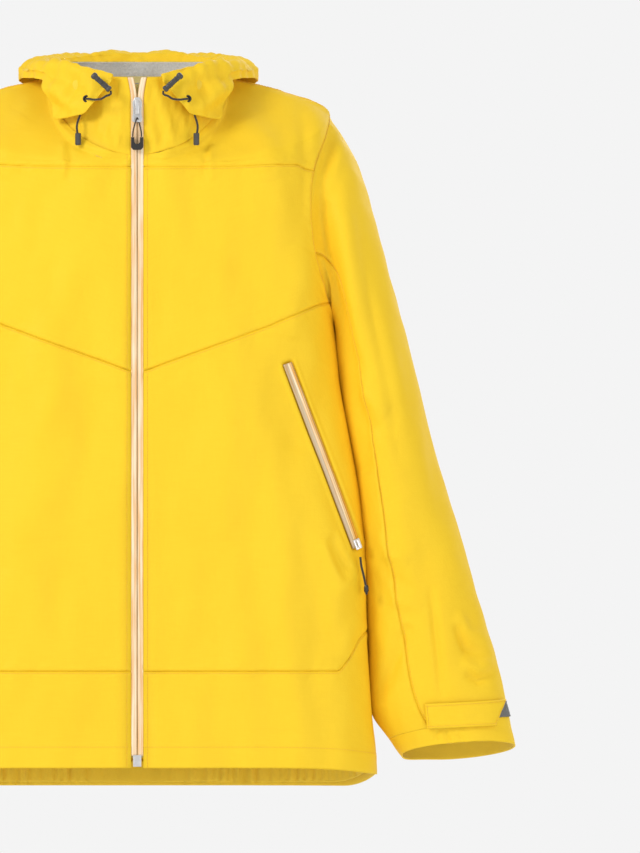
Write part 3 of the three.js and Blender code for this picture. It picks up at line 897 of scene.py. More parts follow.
def round_curve(name: str, radius: float, resolution: int) -> bpy.types.Curve:
    """An empty curve with a round section, its radius in millimetres."""
    curve = bpy.data.curves.new(name, "CURVE")
    curve.dimensions = "3D"
    curve.bevel_depth = radius * MM
    curve.bevel_resolution = resolution
    return curve


def lay(curve: bpy.types.Curve, line: Array) -> bpy.types.Spline:
    """Adds a run through frame points to a curve."""
    spline = curve.splines.new("POLY")
    spline.points.add(len(line) - 1)
    spline.points.foreach_set("co", np.concatenate([line, np.ones((len(line), 1))], axis=1).ravel())
    return spline


# ------------------------------------------------------------------ making cloth
@dataclass
class Weave:
    """A sheet's grid: its points, outward normals and distances to its four edges."""

    points: Array
    normals: Array
    edges: Array
    lengths: Array

    @staticmethod
    def of(points: Array) -> "Weave":
        """Measures a grid of rows, columns and xyz in millimetres.

        Args:
            points: The grid.

        Returns:
            Its weave.
        """
        across = np.linalg.norm(np.diff(points, axis=1), axis=2)
        along = np.linalg.norm(np.diff(points, axis=0), axis=2)
        u = np.concatenate([np.zeros((points.shape[0], 1)), np.cumsum(across, axis=1)], axis=1)
        v = np.concatenate([np.zeros((1, points.shape[1])), np.cumsum(along, axis=0)], axis=0)
        edges = np.stack([u, u[:, -1:] - u, v, v[-1:, :] - v], axis=-1)
        du = np.gradient(points, axis=1)
        dv = np.gradient(points, axis=0)
        normals = np.cross(du, dv)
        size = np.linalg.norm(normals, axis=2, keepdims=True)
        return Weave(points, normals / np.maximum(size, 1e-9), edges, np.stack([u, v], axis=-1))


Relief = Callable[[Weave], Array]


def uneven(size: tuple[float, float], seed: int, height: float, stretch: float = 1.0) -> Relief:
    """Soft unevenness over the front view.

    Args:
        size: Typical length of a wave along X and Z.
        seed: Chooses the pattern.
        height: Its height.
        stretch: Multiplies X first.

    Returns:
        The relief.
    """
    return lambda weave: waves(weave.points[..., 0] * stretch, weave.points[..., 2], size, seed) * height


def level_line(level: float) -> Callable[[Array], Array]:
    """A level line, as a function of u."""
    return lambda u: np.full(u.shape, level)


def sewn(weave: Weave, left: bool = True, right: bool = True, low: bool = True, high: bool = True) -> Array:
    """A seam's dip, its doubled allowance and its puckers along the chosen edges.

    Args:
        weave: The sheet.
        left: Sewn where u is 0.
        right: Sewn where u is 1.
        low: Sewn where v is 0.
        high: Sewn where v is 1.

    Returns:
        The relief's heights.
    """
    chosen = [i for i, on in enumerate((left, right, low, high)) if on]
    if not chosen:
        return np.zeros(weave.points.shape[:2])
    gap = np.min(weave.edges[..., chosen], axis=-1)
    x, z = weave.points[..., 0], weave.points[..., 2] + weave.points[..., 1]
    pucker = waves(x, z, (13, 15), 5, 7) * 0.35 * np.exp(-((gap / 11) ** 2)) * smooth(gap / 3)
    return -0.85 * np.exp(-((gap / 1.5) ** 2)) + 0.4 * np.exp(-(((gap - 4.5) / 3) ** 2)) + pucker


@dataclass
class Tailor:
    """Cuts sheets of cloth and sews thread.

    Attributes:
        wardrobe: The finishes.
        weaves: The finished and the flat grid of each sheet.
        narrowest: Sheets no wider than this, in metres, are trim and keep their measured area unclipped.
        thread: Radius of the thread in millimetres.
        crease_angle: Hard pieces stay sharp past this angle, in degrees.
    """

    wardrobe: Wardrobe
    weaves: dict = field(default_factory=dict)
    narrowest: float = 0.01
    thread: float = 0.24
    crease_angle: float = 35.0

    def sheet(
        self,
        name: str,
        size: tuple[int, int],
        place: Places,
        finish: object,
        side: Side = Side.LEFT,
        relief: Optional[Relief] = None,
        wall: float = 0.9,
        inside: object = INNER_FACE,
        centred: bool = False,
        held: str = "hung",
    ) -> bpy.types.Object:
        """Bends a grid onto a surface and gives it a wall.

        Args:
            name: The piece's name.
            size: Columns and rows.
            place: Gives garment points for arrays of u and v, for the wearer's left.
            finish: The outer finish.
            side: The right side is the left's mirror image.
            relief: Heights added along the normal, in millimetres.
            wall: Thickness in millimetres, inwards.
            inside: The inner face's finish.
            centred: Puts the UV map's middle on the sheet's middle line.
            held: How the cloth is held; not used.

        Returns:
            The sheet, in the frame.
        """
        columns, rows = size
        u, v = np.meshgrid(np.linspace(0, 1, columns + 1), np.linspace(0, 1, rows + 1))
        points = place(u if side is Side.LEFT else 1 - u, v)
        points = points * np.array([side.value, 1, 1])
        weave = Weave.of(points)
        if relief is not None:
            points = points + weave.normals * relief(weave)[..., None]
        mesh = bpy.data.meshes.new(name)
        shape = bmesh.new()
        shape.loops.layers.uv.new("UVMap")
        bmesh.ops.create_grid(shape, x_segments=columns, y_segments=rows, size=0.5, calc_uvs=True)
        shape.to_mesh(mesh)
        shape.free()
        grid = np.zeros(len(mesh.vertices) * 3)
        mesh.vertices.foreach_get("co", grid)
        grid = grid.reshape(-1, 3)
        column = np.rint((grid[:, 0] + 0.5) * columns).astype(int)
        row = np.rint((grid[:, 1] + 0.5) * rows).astype(int)
        mesh.vertices.foreach_set("co", to_frame(points[row, column]).ravel())
        corner = np.zeros(len(mesh.loops), int)
        mesh.loops.foreach_get("vertex_index", corner)
        flat = weave.lengths[row, column] * MM
        if centred:
            flat = flat - np.array([weave.lengths[0, -1, 0] * MM / 2, 0.0])
        mesh.uv_layers[0].data.foreach_set("uv", flat[corner].ravel())
        smooth_shaded(mesh)
        mesh.update()
        piece = linked(name, mesh)
        mesh.materials.append(self.wardrobe.get(finish))
        mesh.materials.append(self.wardrobe.get(inside))
        if wall:
            skin = piece.modifiers.new("wall", "SOLIDIFY")
            skin.thickness = wall * MM
            skin.offset = -1
            skin.material_offset = 1
            skin.use_even_offset = False
        self.weaves[name] = (Weave.of(points), weave)
        width, length = weave.lengths[:, -1, 0].max() * MM, weave.lengths[-1, :, 1].max() * MM
        across, along = np.diff(points[:-1], axis=1), np.diff(points[:, :-1], axis=0)
        area = float(np.linalg.norm(np.cross(across, along), axis=2).sum()) * MM * MM
        if min(width, length) > self.narrowest:
            area = min(1.0, area / (width * length)) * width * length
        LOG.info("sheet %s", name)
        return piece

    def seam_line(self, sheet: str, edge: str, gap: float = 2.2) -> Array:
        """A line on a made sheet, a fixed distance from one of its edges.

        Args:
            sheet: The sheet's name.
            edge: left, right, low or high.
            gap: Distance from the edge in millimetres.

        Returns:
            Rows of garment points, just proud of the cloth.
        """
        made, flat = self.weaves[sheet]
        points = made.points + made.normals * 0.12
        lengths = flat.lengths[..., 1] if edge in ("low", "high") else flat.lengths[..., 0].T
        rows = points if edge in ("low", "high") else points.transpose(1, 0, 2)
        far = edge in ("high", "right")
        line = []
        for i in range(rows.shape[1]):
            travel = lengths[:, i]
            spot = travel[-1] - gap if far else gap
            line.append([np.interp(spot, travel, rows[:, i, k]) for k in range(3)])
        return np.array(line)

    def stitches(
        self, name: str, lines: Sequence[Array], length: float = 2.6, gap: float = 0.8
    ) -> bpy.types.Object:
        """Lays small stitches along lines of garment points.

        Args:
            name: The piece's name.
            lines: Rows of x, y, z points that lie on the cloth.
            length: A stitch's length.
            gap: The space between stitches.

        Returns:
            One piece that holds every stitch.
        """
        curve = round_curve(name, self.thread, 1)
        for line in lines:
            runs = np.linalg.norm(np.diff(line, axis=0), axis=1)
            travel = np.concatenate([[0], np.cumsum(runs)])
            for start in np.arange(gap, travel[-1] - length, length + gap):
                at = start + np.array([0.0, 0.5, 1.0]) * length
                place = np.stack([np.interp(at, travel, line[:, i]) for i in range(3)], axis=-1)
                lay(curve, to_frame(place))
        laid = linked(name + "_run", curve)
        mesh = bpy.data.meshes.new_from_object(laid.evaluated_get(bpy.context.evaluated_depsgraph_get()))
        bpy.data.objects.remove(laid)
        mesh.materials.clear()
        mesh.materials.append(self.wardrobe.get(THREAD))
        LOG.info("thread %s", name)
        return linked(name, mesh)

    def block(
        self, shape: bmesh.types.BMesh, size: tuple, place: tuple, round_by: float, turn: float = 0.0,
        axes: Optional[Matrix] = None,
    ) -> list:
        """Adds a rounded block to a shape.

        Args:
            shape: The shape that it joins.
            size: Width, depth and height in millimetres.
            place: Its middle, in garment millimetres.
            round_by: Radius of its edges.
            turn: Angle in degrees in the front view, from level.
            axes: Turns the block any other way instead.

        Returns:
            The block's vertices.
        """
        made = bmesh.ops.create_cube(shape, size=1.0)["verts"]
        bmesh.ops.scale(shape, vec=Vector(size) * MM, verts=made)
        edges = list({edge for vertex in made for edge in vertex.link_edges})
        rounded = bmesh.ops.bevel(
            shape, geom=edges, offset=round_by * MM, offset_type="OFFSET", segments=4,
            profile=0.5, affect="EDGES", clamp_overlap=True, material=-1,
        )["faces"]
        made = list({vertex for face in rounded for vertex in face.verts})
        spin = axes or Matrix.Rotation(-math.radians(turn), 3, "Y")
        bmesh.ops.rotate(shape, cent=(0, 0, 0), matrix=spin, verts=made)
        bmesh.ops.translate(shape, vec=Vector(to_frame(place)), verts=made)
        return made

    def hard(self, name: str, shape: bmesh.types.BMesh, finish: object) -> bpy.types.Object:
        """Turns a shape in the frame into a smooth hard piece.

        Args:
            name: The piece's name.
            shape: The shape, which is freed.
            finish: Its finish.

        Returns:
            The piece.
        """
        bmesh.ops.recalc_face_normals(shape, faces=shape.faces)
        mesh = bpy.data.meshes.new(name)
        shape.to_mesh(mesh)
        shape.free()
        smooth_shaded(mesh)
        mesh.set_sharp_from_angle(angle=math.radians(self.crease_angle))
        mesh.materials.append(self.wardrobe.get(finish))
        LOG.info("hard piece %s", name)
        return linked(name, mesh)

    def cord(self, name: str, route: Sequence, diameter: float) -> tuple[bpy.types.Object, float]:
        """Lays a round cord along a route of garment points.

        Args:
            name: The piece's name.
            route: Points it passes.
            diameter: In millimetres.

        Returns:
            The curve, and its length in metres.
        """
        points = np.array(route, float)
        travel = np.concatenate([[0], np.cumsum(np.linalg.norm(np.diff(points, axis=0), axis=1))])
        fine = np.linspace(0, travel[-1], 30)
        line = to_frame(np.stack([curve_through(travel, points[:, i], fine) for i in range(3)], axis=-1))
        curve = round_curve(name, diameter / 2, 3)
        curve.use_fill_caps = True
        lay(curve, line).use_smooth = True
        curve.materials.append(self.wardrobe.get(CORD))
        LOG.info("cord %s", name)
        return linked(name, curve), float(np.linalg.norm(np.diff(line, axis=0), axis=1).sum())


# ------------------------------------------------------------------ the body of the jacket
FRONT_FOLDS = (
    Crease(((74.5, 676), (73, 655), (75, 636)), 5, step=1.5),
    Crease(((170, 724), (174, 696), (178, 655), (184, 606)), 8, ridge=-2.6),
    Crease(((120, 705), (138, 676), (150, 640)), 16, ridge=1.6),
    Crease(((186, 560), (168, 520), (162, 470)), 20, ridge=2.6),
    Crease(((205, 440), (186, 400), (178, 350)), 18, ridge=-2.0),
    Crease(((205, 268), (214, 250), (224, 230)), 5, step=2.0),
    Crease(((196, 262), (206, 236), (216, 216)), 6, step=-1.6),
    Crease(((238, 240), (222, 215), (206, 205)), 8, ridge=2.0),
    Crease(((236, 180), (222, 160), (214, 135)), 10, ridge=2.2),
    Crease(((90, 500), (96, 380), (92, 260)), 30, ridge=1.8),
    Crease(((40, 420), (34, 300), (40, 190)), 26, ridge=-1.4),
    Crease(((150, 230), (156, 150), (150, 60)), 24, ridge=2.0),
)


@dataclass
class Body:
    """Front, back, yoke and hem panels with their seams, and what lies inside them.

    Attributes:
        hem_seam: Level of the hem panel's seam at the centre front.
        hem_rise: How far it rises to the side.
        fold_gain: Strength of the listed folds.
        tape_gap: Distance of the thread from the zip's edge, in millimetres.
        armhole_gap: Distance of the thread from the armhole.
    """

    tailor: Tailor
    form: BodyForm = field(default_factory=BodyForm)
    hem_seam: float = 123.0
    hem_rise: float = 42.0
    fold_gain: float = 2.1
    tape_gap: float = 4.2
    armhole_gap: float = 3.0

    def front_hem(self, u: Array) -> Array:
        """Level of the front hem's edge."""
        return 22 - 8 * np.sin(u * math.pi / 2) ** 4

    def back_hem(self, u: Array) -> Array:
        """Level of the drop tail's edge."""
        return 14 * smooth((np.abs(2 * u - 1) - 0.55) / 0.45)

    def seam_level(self, share: Array) -> Array:
        """Level of the hem panel's seam, by share of the way to the side."""
        across = 243 * np.sin(np.clip(share, 0, 1) * math.pi / 2) ** 0.548
        return self.hem_seam + self.hem_rise * smooth((across - 206) / 38)

    def chest_level(self, share: Array) -> Array:
        """Level of the slanted chest seam, by share of the way to the armhole."""
        middle = np.full(np.shape(share), 470.0)
        width = self.form.measure(self.form.widths, middle)
        across = width * np.sin(self.form.edge(middle) * share) ** 0.62
        return 437 + 0.352 * np.maximum(across - 5, 0)

    def yoke_level(self, share: Array) -> Array:
        """Level of the front yoke's seam."""
        return self.form.yoke - 3 + 5 * smooth(share / 0.5) - 10 * smooth((share - 0.72) / 0.28)

    def front_place(self, low: Callable[[Array], Array], high: Callable[[Array], Array]) -> Places:
        """Points of a front panel between two level lines.

        Args:
            low: The lower line.
            high: The upper line.

        Returns:
            The panel's places.
        """

        def place(u: Array, v: Array) -> Array:
            """From the zip to the armhole and up."""
            level = low(u) + (high(u) - low(u)) * v
            start = self.form.angle_at(level, np.full(level.shape, self.form.zip_half + 0.2))
            return self.form.point(level, start + (self.form.edge(level) - start) * u)

        return place

    def back_place(self, low: Callable[[Array], Array], high: Callable[[Array], Array]) -> Places:
        """Points of a back panel, from the wearer's left side seam to the right.

        Args:
            low: The lower line.
            high: The upper line.

        Returns:
            The panel's places.
        """

        def place(u: Array, v: Array) -> Array:
            """Round the back and up."""
            level = low(u) + (high(u) - low(u)) * v
            start = self.form.edge(level, True)
            return self.form.point(level, start + 2 * (math.pi - start) * u)

        return place

    def drape(self, weave: Weave, seed: int) -> Array:
        """Soft unevenness and the listed folds, still at the armhole's edge.

        Args:
            weave: The sheet.
            seed: Chooses the pattern.

        Returns:
            The relief's heights.
        """
        x, y, z = (weave.points[..., i] for i in range(3))
        front = y < 0
        soft = waves(x + y * 0.5, z, (95, 330), seed) * 2.4 + waves(x, z + y, (46, 80), seed + 1) * 0.6
        folds = fold_height(FRONT_FOLDS, np.abs(x), z) * self.fold_gain
        fixed = smooth((np.abs(x) - 5.0) / 24)
        side = np.minimum(weave.edges[..., 0], weave.edges[..., 1])
        calm = np.where(np.abs(x) > 60, smooth(side / 14), 1.0)
        aside, along = self.pocket_track(np.abs(x), z)
        away = np.where(front, 1 - np.exp(-((aside / 15) ** 2)) * along, 1.0)
        turned = 0.25 + 0.75 * np.abs(weave.normals[..., 1])
        return (soft + np.where(front, folds, folds * 0.4)) * fixed * calm * away * turned

    def pocket_track(self, x: Array, z: Array) -> tuple[Array, Array]:
        """Distance from the pocket zip's line, and 1 beside it fading to 0 past its ends.

        Args:
            x: Places across the front view.
            z: Heights on it.

        Returns:
            The signed distance and the fading share.
        """
        top, end = self.form.pocket_top, self.form.pocket_end
        run = np.array([end[0] - top[0], end[2] - top[2]])
        length = float(np.hypot(*run))
        dx, dz = x - top[0], z - top[2]
        travel = (dx * run[0] + dz * run[1]) / length
        aside = (dx * run[1] - dz * run[0]) / length
        return aside, smooth((travel + 8) / 6) * smooth((length + 10 - travel) / 6)

    def pocket_welt(self, weave: Weave) -> Array:
        """The slot that the pocket zip lies in, with a raised lip on each side."""
        x, y, z = (weave.points[..., i] for i in range(3))
        aside, along = self.pocket_track(np.abs(x), z)
        slot = -3.4 * smooth((6.6 - np.abs(aside)) / 2.2)
        lip = 1.0 * np.exp(-(((np.abs(aside) - 8.2) / 2.0) ** 2))
        return np.where(y < 0, (slot + lip) * along, 0.0)

    def front(self, side: Side) -> None:
        """The four front panels of one side.

        Args:
            side: The wearer's side.
        """
        neck = level_line(self.form.neck)
        panels = {
            "hem": (self.front_hem, self.seam_level, 110, 46),
            "lower": (self.seam_level, self.chest_level, 170, 160),
            "chest": (self.chest_level, self.yoke_level, 100, 84),
            "yoke": (self.yoke_level, neck, 110, 84),
        }
        zip_left = side is Side.LEFT
        zip_edge, armhole = ("left", "right") if zip_left else ("right", "left")
        for key, (low, high, columns, rows) in panels.items():

            def relief(weave: Weave, key: str = key) -> Array:
                """Seams and folds, with the zip's lip, the pocket's slot and the turned hem."""
                height = sewn(weave, not zip_left, zip_left, key != "hem", key != "yoke")
                height = height + self.drape(weave, 11 if zip_left else 23)
                if key == "yoke":
                    return height
                lip = weave.edges[..., 0 if zip_left else 1]
                height = height + 0.9 * np.exp(-((lip / 4.0) ** 2))
                if key == "lower":
                    height = height + self.pocket_welt(weave)
                if key == "hem":
                    height = height + 0.5 * smooth((24 - weave.edges[..., 2]) / 3)
                return height

            name = f"front_{key}_{side.tag}"
            cloth = f"{name}_cloth"
            place = self.front_place(low, high)
            piece = self.tailor.sheet(cloth, (columns, rows), place, SHELL, side, relief)
            on(piece, "jacket_body", "shell_fabric", name)
            lines = [self.tailor.seam_line(cloth, "high")] if key != "yoke" else []
            if key == "hem":
                lines.append(self.tailor.seam_line(cloth, "low", 22.0))
            lines.append(self.tailor.seam_line(cloth, zip_edge, self.tape_gap))
            lines.append(self.tailor.seam_line(cloth, armhole, self.armhole_gap))
            on(self.tailor.stitches(f"{name}_thread", lines), "jacket_body", "shell_fabric")

    def back(self) -> None:
        """Back hem, back panel and back yoke."""
        yoke, neck = level_line(self.form.back_yoke), level_line(self.form.neck)

        def seam(u: Array) -> Array:
            """The hem panel's seam, from one side to the other."""
            return self.seam_level(np.abs(2 * u - 1))

        panels = {
            "back_hem": (self.back_hem, seam, 280, 54),
            "back_panel": (seam, yoke, 170, 150),
            "back_yoke": (yoke, neck, 170, 72),
        }
        for name, (low, high, columns, rows) in panels.items():
            tail = name == "back_hem"

            def relief(weave: Weave, tail: bool = tail) -> Array:
                """Seams and folds, with the drop tail's ruffles."""
                height = sewn(weave, True, True, not tail, True) + self.drape(weave, 31)
                return height + self.gather(weave) if tail else height

            held = "gathered" if tail else "hung"
            cloth = f"{name}_cloth"
            place = self.back_place(low, high)
            piece = self.tailor.sheet(cloth, (columns, rows), place, SHELL, Side.LEFT, relief, held=held)
            on(piece, "jacket_body", "shell_fabric", name)
            edges = ["high"] if name != "back_yoke" else []
            lines = [self.tailor.seam_line(cloth, edge) for edge in (*edges, "left", "right")]
            if tail:
                lines.append(self.tailor.seam_line(cloth, "low", 27.0))
            on(self.tailor.stitches(f"{name}_thread", lines), "jacket_body", "shell_fabric")

    def gather(self, weave: Weave) -> Array:
        """Ruffles where the elastic draws the drop tail in."""
        x, rise = weave.points[..., 0], weave.edges[..., 2]
        reach = smooth((205 - np.abs(x)) / 60)
        ruffle = np.sin(x / 2.4 + 1.4 * np.sin(x / 19.0)) * (0.65 + 0.35 * np.sin(x / 9.7 + 2))
        raised = 2.8 * ruffle * np.exp(-(((rise - 10) / 24) ** 2))
        return reach * (raised - 4.0 * np.exp(-((rise / 26) ** 2)))

    def build(self) -> None:
        """Makes every panel and the inner pieces."""
        for side in Side:
            self.front(side)
        self.back()
        self.elastic_channel()
        self.storm_flap()
        for side in Side:
            self.pocket_bag(side)

    def elastic_channel(self) -> None:
        """The ruffled channel that holds the elastic, inside the drop tail."""

        def place(u: Array, v: Array) -> Array:
            """A band just inside the drop tail."""
            level = self.back_hem(u) + 4 + 22 * v
            made = self.form.point(level, math.pi * (0.54 + 0.92 * u))
            inward = made * np.array([-0.3, -1.0, 0.0])
            return made + inward / np.linalg.norm(inward, axis=-1, keepdims=True) * 4.6

        def relief(weave: Weave) -> Array:
            """The tail's ruffles with finer ones of the channel's own."""
            x = weave.points[..., 0]
            fine = np.sin(x / 1.3 + 1.7 * np.sin(x / 17.0)) * (0.6 + 0.4 * np.sin(x / 13.0 + 1))
            inset = np.min(weave.edges, axis=-1)
            return self.gather(weave) * 0.8 + 1.3 * fine * smooth(inset / 5)

        piece = self.tailor.sheet(
            "hem_elastic_channel", (620, 18), place, INNER_FACE, Side.LEFT, relief,
            wall=0.8, held="gathered",
        )
        on(piece, "jacket_body", "elastic", "hem_elastic")

    def storm_flap(self) -> None:
        """The narrow flap behind the front zip."""

        def place(u: Array, v: Array) -> Array:
            """A flat strip behind the tapes."""
            return np.stack([27 * (u - 0.5), np.full(u.shape, -99.6), 33 + 704 * v], axis=-1)

        piece = self.tailor.sheet(
            "storm_flap_cloth", (14, 180), place, TAPE_CLOTH, Side.LEFT,
            uneven((24, 90), 61, 0.35), inside=TAPE_CLOTH,
        )
        on(piece, "jacket_body", "inner_fabric", "storm_flap")

    def pocket_bag(self, side: Side) -> None:
        """The bag behind one slanted pocket zip.

        Args:
            side: The wearer's side.
        """
        top, end = self.form.pocket_top, self.form.pocket_end

        def place(u: Array, v: Array) -> Array:
            """A sagging sheet a little behind the front."""
            z = 240 + 190 * v
            outer = np.interp(z, [end[2], top[2]], [end[0], top[0]]) - 14
            x = 119 + (np.minimum(outer, 207) - 119) * u
            made = self.form.point(z, self.form.angle_at(z, x))
            sag = 8.5 + 6 * np.sin(math.pi * u) * np.sin(math.pi * v)
            return made + np.array([-0.25, 0.97, 0.0]) * sag[..., None]

        piece = self.tailor.sheet(
            f"pocket_bag_{side.tag}_cloth", (40, 70), place, TAPE_CLOTH, side,
            uneven((30, 44), 67, 0.8), inside=TAPE_CLOTH,
        )
        on(piece, "jacket_body", "inner_fabric", f"pocket_bag_{side.tag}")


def dress(tailor: Tailor, node: str, finish: object) -> None:
    """Gives a CAD node a finish.

    Args:
        tailor: Holds the finishes.
        node: The node.
        finish: Its finish.
    """
    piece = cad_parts[node]
    piece.data.materials.clear()
    piece.data.materials.append(tailor.wardrobe.get(finish))
    LOG.info("finish on %s", node)


# ------------------------------------------------------------------ sleeves and cuffs
SLEEVE_FOLDS = (
    Crease(
        ((205, 694), (198, 640), (194, 600), (197, 560), (204, 515), (213, 470), (226, 405), (238, 330)),
        11, ridge=-9.5, taper=0.3,
    ),
    Crease(((216, 698), (213, 668), (203, 640), (198, 615)), 7, ridge=4.0),
    Crease(
        ((226, 662), (240, 561), (247, 515), (258, 458), (268, 402), (277, 335)),
        8, ridge=-3.4, step=0.8,
    ),
    Crease(((214, 610), (222, 530), (234, 450)), 9, ridge=2.6),
    Crease(((222, 440), (236, 410), (262, 392)), 9, ridge=2.6),
    Crease(((224, 400), (240, 380), (272, 372)), 8, ridge=-2.2),
    Crease(((252, 270), (262, 246), (284, 236)), 7, ridge=2.4),
    Crease(((250, 244), (264, 222), (290, 206)), 7, ridge=-2.0),
    Crease(((256, 214), (272, 196), (300, 190)), 7, ridge=2.0),
    Crease(((336, 186), (345, 164), (368, 154)), 6, ridge=4.0),
    Crease(((334, 172), (345, 147), (370, 139)), 5, ridge=-4.4),
    Crease(((340, 134), (356, 124), (372, 132)), 5, ridge=3.4),
    Crease(((343, 121), (357, 113), (370, 120), (378, 134)), 4, ridge=-3.6),
    Crease(((286, 170), (268, 130), (250, 90)), 10, ridge=-4.2, step=1.4),
    Crease(((283, 300), (300, 250), (306, 190)), 14, ridge=-2.0),
    Crease(((309, 214), (314, 165), (318, 125), (321, 92)), 5, ridge=-2.8, step=1.4),
    Crease(((240, 236), (252, 214), (268, 196)), 12, ridge=-3.6),
    Crease(((315, 64), (312, 50)), 2.6, ridge=-2.0, taper=0.3),
    Crease(((320, 64), (327, 47)), 2.6, ridge=-2.2, taper=0.3),
    Crease(((334, 60), (343, 48)), 3.0, ridge=-1.8, taper=0.3),
    Crease(((262, 480), (276, 400), (290, 330)), 18, ridge=1.8),
)


@dataclass
class Sleeves:
    """Two-piece sleeves with cuff bands, tabs and loop pads.

    Attributes:
        cuff_start: Share of the sleeve where the cuff band begins.
        cuff_tilt: How much lower the cuff's back hangs.
        tuck: How far the armhole's edge tucks under the body.
        fold_gain: Strength of the listed folds.
        root: Places across the shoulder, passed on to between, which doesn't use them.
        hinge: The same across the tab's sewn end.
    """

    tailor: Tailor
    form: SleeveForm
    seam_angle: float = math.radians(109)
    cuff_start: float = 0.955
    cuff_tilt: float = 9.5
    tuck: float = 3.4
    fold_gain: float = 1.5
    root: tuple = (201, 228)
    hinge: tuple = (303.0, 316.0)
    tab: tuple = ((304, 62), (373, 65.5), (383, 93), (301, 88.5))
    pad: tuple = ((356, 73), (389, 75), (384.5, 91.2), (358, 87))

    def place(self, from_angle: float, to_angle: float, low: float, high: float) -> Places:
        """Points of a sleeve panel; v runs up the arm so that u turns outwards.

        Args:
            from_angle: Where u starts.
            to_angle: Where it ends.
            low: Share at the top.
            high: Share at the lower end.

        Returns:
            The panel's places.
        """

        def points(u: Array, v: Array) -> Array:
            """Round the arm and up it."""
            share, angle = high + (low - high) * v, from_angle + (to_angle - from_angle) * u
            made = self.form.point(share, angle)
            made[..., 2] += self.cuff_tilt * np.sin(angle) * smooth((share - 0.9) / 0.1)
            inner = 1 - 0.8 * np.clip(np.cos(angle), 0, 1)
            made[..., 0] -= self.tuck * smooth(1 - share / 0.008) * inner
            return made

        return points

    def drape(self, weave: Weave) -> Array:
        """Folds and softness, still at the armhole.

        Args:
            weave: The sheet.

        Returns:
            The relief's heights.
        """
        x, y, z = np.abs(weave.points[..., 0]), weave.points[..., 1], weave.points[..., 2]
        side = 41 if weave.points[0, 0, 0] > 0 else 57
        gap = weave.edges[..., 3] if weave.points.shape[0] > 100 else np.full(x.shape, 50.0)
        calm = smooth(gap / 4.5)
        flat_tab = np.hypot((x - 342) / 52, (z - 78) / 24)
        calm = calm * (1 - 0.85 * np.where(y < 0, np.exp(-(flat_tab**4)), 0.0))
        soft = waves(x + y, z, (80, 190), side) + waves(x - y, z, (34, 60), side + 1) * 0.25
        facing = np.clip(-weave.normals[..., 1], 0, 1) ** 1.5
        behind = np.clip(weave.normals[..., 1], 0, 1) ** 1.5
        folds = fold_height(SLEEVE_FOLDS, x, z) * self.fold_gain * (facing + 0.4 * behind)
        return (soft + folds) * calm

    def on_front(self, x: Array, z: Array) -> tuple[Array, Array]:
        """Share and angle of the sleeve's front at a place on the front view, near the cuff.

        Args:
            x: Places across the front view.
            z: Heights on it.

        Returns:
            The shares and the angles.
        """
        low, high = np.full(x.shape, 0.8), np.full(x.shape, 1.0)
        outer, inner = np.zeros(x.shape), np.full(x.shape, math.pi)
        for _ in range(30):
            share = (low + high) / 2
            a, b = self.form.free(share, outer), self.form.free(share, inner)
            middle, half = (a + b) / 2, (a - b) / 2
            side = (x - middle[..., 0]) * half[..., 2] - (z - middle[..., 2]) * half[..., 0]
            low, high = np.where(side > 0, share, low), np.where(side > 0, high, share)
        reach = (x - middle[..., 0]) * half[..., 0] + (z - middle[..., 2]) * half[..., 2]
        cosine = reach / (half[..., 0] ** 2 + half[..., 2] ** 2)
        return share, np.arccos(np.clip(cosine, -0.995, 0.995))

    def patch(self, corners: tuple, lift: float) -> Places:
        """Points of a patch on the cuff, from four corners on the front view.

        Args:
            corners: Places as x and z, round the patch.
            lift: Its gap from the cuff.

        Returns:
            The patch's places.
        """
        a, b, c, d = (np.array(corner, float) for corner in corners)

        def points(u: Array, v: Array) -> Array:
            """Between the corners, standing off the cuff."""
            u, v = u[..., None], v[..., None]
            spot = (a + (b - a) * u) * (1 - v) + (d + (c - d) * u) * v
            share, angle = self.on_front(spot[..., 0], spot[..., 1])
            made = self.form.point(share, angle)
            out = np.stack([np.cos(angle), -np.sin(angle), np.zeros(angle.shape)], axis=-1)
            return made + out * lift

        return points

    def build(self) -> None:
        """Makes both sleeves."""
        turn = self.seam_angle
        panels = {
            "sleeve_top": (turn, -turn, 128),
            "sleeve_under": (-turn, turn - 2 * math.pi, 62),
        }

        def relief(weave: Weave) -> Array:
            """Seams and folds."""
            return sewn(weave, low=False) + self.drape(weave)

        for side in Side:
            arm = f"sleeve_body_{side.tag}"
            bodies = ("jacket_body", arm)
            span = [to_frame([x * side.value, 0, 600]) for x in self.root]
            for key, (first, last, columns) in panels.items():
                name = f"{key}_{side.tag}"
                cloth = f"{name}_cloth"
                places = self.place(first, last, 0.0, self.cuff_start)
                piece = self.tailor.sheet(cloth, (columns, 210), places, SHELL, side, relief)
                between(piece, bodies, span, "shell_fabric", name)
                if key == "sleeve_top":
                    edges = ("left", "right", "high")
                    lines = [self.tailor.seam_line(cloth, edge, 2.0) for edge in edges]
                    thread = self.tailor.stitches(f"{name}_thread", lines)
                    between(thread, bodies, span, "shell_fabric")
            self.cuff(side, arm)
            self.closure(side, arm)

    def cuff(self, side: Side, arm: str) -> None:
        """Cuff band and loop pad of one side.

        Args:
            side: The wearer's side.
            arm: The sleeve's body.
        """

        def relief(weave: Weave) -> Array:
            """The sleeve's folds with a turned edge."""
            rise = weave.edges[..., 2]
            return self.drape(weave) + 0.5 * np.exp(-(((rise - 9) / 7) ** 2))

        name = f"cuff_band_{side.tag}"
        places = self.place(math.pi * 1.1, -math.pi * 0.9, self.cuff_start, 1.0)
        band = self.tailor.sheet(f"{name}_cloth", (190, 18), places, SHELL, side, relief, wall=1.4)
        on(band, arm, "shell_fabric", name)
        name = f"cuff_loop_pad_{side.tag}"
        pad = self.tailor.sheet(
            f"{name}_pile", (30, 24), self.patch(self.pad, 2.2), LOOP_TAPE, side,
            uneven((3, 3), 3, 0.2), wall=1.2, inside=LOOP_TAPE,
        )
        on(pad, arm, "loop_tape", name)

